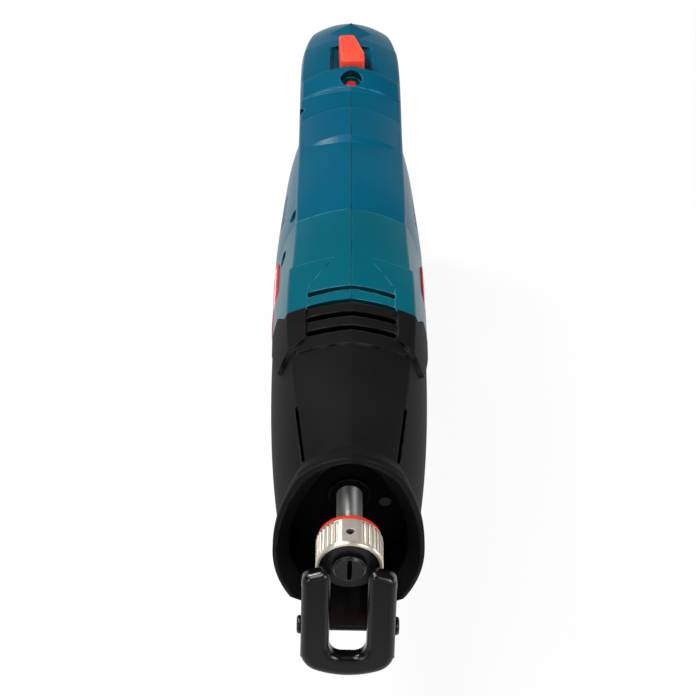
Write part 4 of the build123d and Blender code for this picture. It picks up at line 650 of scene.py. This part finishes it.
# Side badges
# A plain printed plate glued to each side of the front housing: a red field between two pale lines.
badge_low, badge_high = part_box("side_badges")
line_outer = 0.1  # shares of the badge's height, from either edge
line_inner = 0.17
badge_print = coated(
    "badge_print", dark=(0.52, 0.026, 0.026), light=(0.6, 0.034, 0.032), worn=(0.75, 0.3, 0.28),
    rough=0.28, grain=1600.0, depth=0.05, radius=0.0004,
)
badge_tree = badge_print.node_tree
badge_lines = badge_tree.nodes.new("ShaderNodeValToRGB")
badge_ramp = badge_lines.color_ramp
badge_ramp.interpolation = "CONSTANT"
for spot, level in ((line_outer, 1.0), (line_inner, 0.0), (1.0 - line_inner, 1.0), (1.0 - line_outer, 0.0)):
    badge_ramp.elements.new(spot).color = (level, level, level, 1.0)
badge_ramp.elements[-1].color = (0.0, 0.0, 0.0, 1.0)
feed(badge_tree, badge_lines.inputs[0], mapped(badge_tree, axes(badge_tree)["Z"], badge_low.z, badge_high.z))
overprint(badge_print, badge_lines.outputs[0], (0.78, 0.76, 0.74))
dress(badge_print, "side_badges")

# Housing screws
# Thread-forming screws with a black oxide coat, sunk in the left half.
black_oxide = coated(
    "black_oxide", dark=(0.05, 0.05, 0.052), light=(0.08, 0.08, 0.082), worn=(0.3, 0.3, 0.3),
    rough=0.32, grain=900.0, depth=0.15, radius=0.0004, metallic=1.0,
)
dress(black_oxide, "housing_screws", "bracket_clamp_screw")

# Front boot
# A thick rubber sleeve pulled over the gear case, with the bell round the chuck, the louvres, a lobe on each
# shoulder and a saddle between the lobes. The seal round the plunger is of the same rubber.
# Painted shade: the rubber is painted near black in its hollows, so that the inside of the bell is dark.
boot_rubber = coated(
    "boot_rubber", dark=(0.0045, 0.0045, 0.0044), light=(0.007, 0.007, 0.0068), worn=(0.03, 0.03, 0.029),
    rough=0.55, grain=1100.0, depth=0.2, radius=0.0012, specular=0.035, hollow_shade_level=0.02, reach=0.05,
)
dress(boot_rubber, "front_boot", "plunger_seal")

# Work light
# A clear dome over a pale yellow chip, pressed into the front wall of the gear case. Both are painted nearly
# black with painted shade, as the light sits in the shade inside the bell; the chip shows only as a dim
# yellow disc.
light_low, light_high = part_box("work_light")
light_middle = (light_low + light_high) / 2
light_r = (light_high.x - light_low.x) / 2
chip_r = light_r * 0.4
chip_rim = light_r * 0.62
dome_in_shade = coated(
    "dome_in_shade", dark=(0.006, 0.006, 0.007), light=(0.009, 0.009, 0.01), worn=(0.02, 0.02, 0.02),
    rough=0.06, grain=900.0, depth=0.01, radius=0.0004, specular=0.08,
)
dome_tree = dome_in_shade.node_tree
dome_place = dome_tree.nodes.new("ShaderNodeTexCoord").outputs["Object"]
chip_middle = (light_middle.x, light_low.y, light_middle.z)
dome_away = vector_maths(dome_tree, "DISTANCE", dome_place, chip_middle)
# Painted shade: the chip is painted a dim yellow that is nearly black.
overprint(dome_in_shade, mapped(dome_tree, dome_away, chip_rim, chip_r), (0.012, 0.01, 0.005))
dress(dome_in_shade, "work_light")

# Blade chuck
# A black steel core with the blade slot, a turned sleeve in nickel plate that is twisted to free the blade,
# and a red acetal ring behind it. The sleeve is held by a thin washer.
# Painted shade: the core is painted darker in its slot and bores.
core_black = coated(
    "core_black", dark=(0.006, 0.006, 0.006), light=(0.011, 0.011, 0.011), worn=(0.09, 0.09, 0.09),
    rough=0.26, grain=900.0, depth=0.12, radius=0.0006, specular=0.2, hollow_shade_level=0.1, reach=0.01,
)
# Painted shade: the sleeve is painted darker in its flutes and bore.
nickel = turned(
    "nickel_plate", dark=(0.66, 0.59, 0.51), light=(0.78, 0.71, 0.62), rough=0.42, swing=0.05,
    axis=plunger_axis, lines=3000.0, depth=0.05, hollow_shade_level=0.05, metallic=0.85,
)
dress(core_black, "chuck_core", "chuck_retainer")
dress(polished, "blade_lock_pin")
dress(nickel, "chuck_sleeve")
dress(signal_red, "chuck_ring")

# Shoe and its bracket
# Pressed steel with a thick black coat that has run smooth at the edges. The shoe swings on two rivets and
# the bracket slides in the gear case.
shoe_coat = coated(
    "shoe_coat", dark=(0.0015, 0.0015, 0.0015), light=(0.0025, 0.0025, 0.0025),
    worn=(0.006, 0.006, 0.006), rough=0.16, grain=700.0, depth=0.02, radius=0.0018, specular=0.4,
)
dress(shoe_coat, "shoe", "shoe_bracket", "shoe_rivets")

# Battery
# A two-part black nylon case on rails under the foot, with ten cells inside, two spring buttons that release
# it, ribs for the hand on both sides and a charge gauge on the rear.
corner_steps = 6


def rounded_plate(name, width, height, rise, corner, place, finish, bevel=0.0003):
    """A flat plate on the battery, in the local XY plane, with round corners and a softened front edge."""
    outline = []
    for sx, sy, quarter in ((1, 1, 0), (-1, 1, 1), (-1, -1, 2), (1, -1, 3)):
        for i in range(corner_steps + 1):
            angle = pi / 2 * (quarter + i / corner_steps)
            x = sx * (width / 2 - corner) + corner * cos(angle)
            outline.append((x, sy * (height / 2 - corner) + corner * sin(angle)))
    rows = ((1.0, 0.0), (1.0, rise - bevel), (1.0 - bevel / min(width, height), rise))
    points = [place @ Vector((x * s, y * s, z)) for s, z in rows for x, y in outline]
    count = len(outline)
    faces = [tuple(range(2 * count, 3 * count)), tuple(reversed(range(count)))]
    for row in range(2):
        for i in range(count):
            j = (i + 1) % count
            faces.append((row * count + i, row * count + j, (row + 1) * count + j, (row + 1) * count + i))
    new_piece(name, points, faces, finish, "battery", smooth=False)


battery_black = coated(
    "battery_black", dark=(0.008, 0.008, 0.0085), light=(0.014, 0.014, 0.0145),
    worn=(0.045, 0.045, 0.047), rough=0.45, grain=1300.0, depth=0.3, radius=0.0008, specular=0.35,
)
button_red = coated(
    "button_red", dark=(0.62, 0.03, 0.016), light=(0.72, 0.042, 0.022), worn=(0.85, 0.14, 0.1),
    rough=0.36, grain=1600.0, depth=0.12, radius=0.0006, specular=0.4,
)
cell_sleeve = coated(
    "cell_sleeve", dark=(0.02, 0.2, 0.17), light=(0.03, 0.25, 0.21), worn=(0.1, 0.4, 0.35),
    rough=0.3, grain=900.0, depth=0.08, radius=0.0003,
)
dress(battery_black, "battery_case", "battery_base")
dress(button_red, "battery_button_left", "battery_button_right")
dress(cell_sleeve, "battery_cells")

base_low, base_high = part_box("battery_base")
base_mid_z = (base_low.z + base_high.z) / 2
sunk = 0.0001
hand_rib_count = 6
hand_rib_first_y = 0.002
hand_rib_pitch = 0.0085
hand_rib_h = 0.020
hand_rib_w = 0.0034
hand_rib_rise = 0.0009
hand_rib_corner = 0.0015
for side, sign in (("left", -1), ("right", 1)):
    facing = Matrix.Rotation(sign * pi / 2, 4, "Y")
    for i in range(hand_rib_count):
        spot = Vector((sign * (base_high.x - sunk), hand_rib_first_y + hand_rib_pitch * i, base_mid_z))
        rounded_plate(f"battery_rib_{side}_{i}", hand_rib_h, hand_rib_w, hand_rib_rise, hand_rib_corner,
                      Matrix.Translation(spot) @ facing, battery_black)

gauge_panel = coated(
    "gauge_panel", dark=(0.004, 0.004, 0.004), light=(0.006, 0.006, 0.006),
    worn=(0.02, 0.02, 0.02), rough=0.16, grain=900.0, depth=0.02, radius=0.0004,
)
gauge_lamp = coated(
    "gauge_lamp", dark=(0.02, 0.3, 0.06), light=(0.03, 0.38, 0.08), worn=(0.1, 0.5, 0.2),
    rough=0.2, grain=900.0, depth=0.05, radius=0.0003,
)
gauge_lift = 0.0005
gauge_lamp_count = 4
gauge_lamp_first_x = 0.0115
gauge_lamp_pitch = 0.0065
gauge_button_x = -0.0145


def on_gauge(x, lift):
    """A place on the rear of the battery, x away from the middle of the gauge, facing backwards."""
    spot = Vector((x, base_high.y - sunk + lift, base_mid_z))
    return Matrix.Translation(spot) @ Matrix.Rotation(-pi / 2, 4, "X")


rounded_plate("gauge_panel", width=0.038, height=0.012, rise=0.0006, corner=0.004,
              place=on_gauge(0.0, 0.0), finish=gauge_panel)
for i in range(gauge_lamp_count):
    lamp_place = on_gauge(gauge_lamp_first_x - gauge_lamp_pitch * i, gauge_lift)
    rounded_plate(f"gauge_lamp_{i}", width=0.0046, height=0.0030, rise=0.0003, corner=0.0009,
                  place=lamp_place, finish=gauge_lamp, bevel=0.0001)
rounded_plate("gauge_button", width=0.0062, height=0.0062, rise=0.0007, corner=0.0030,
              place=on_gauge(gauge_button_x, gauge_lift), finish=battery_black)
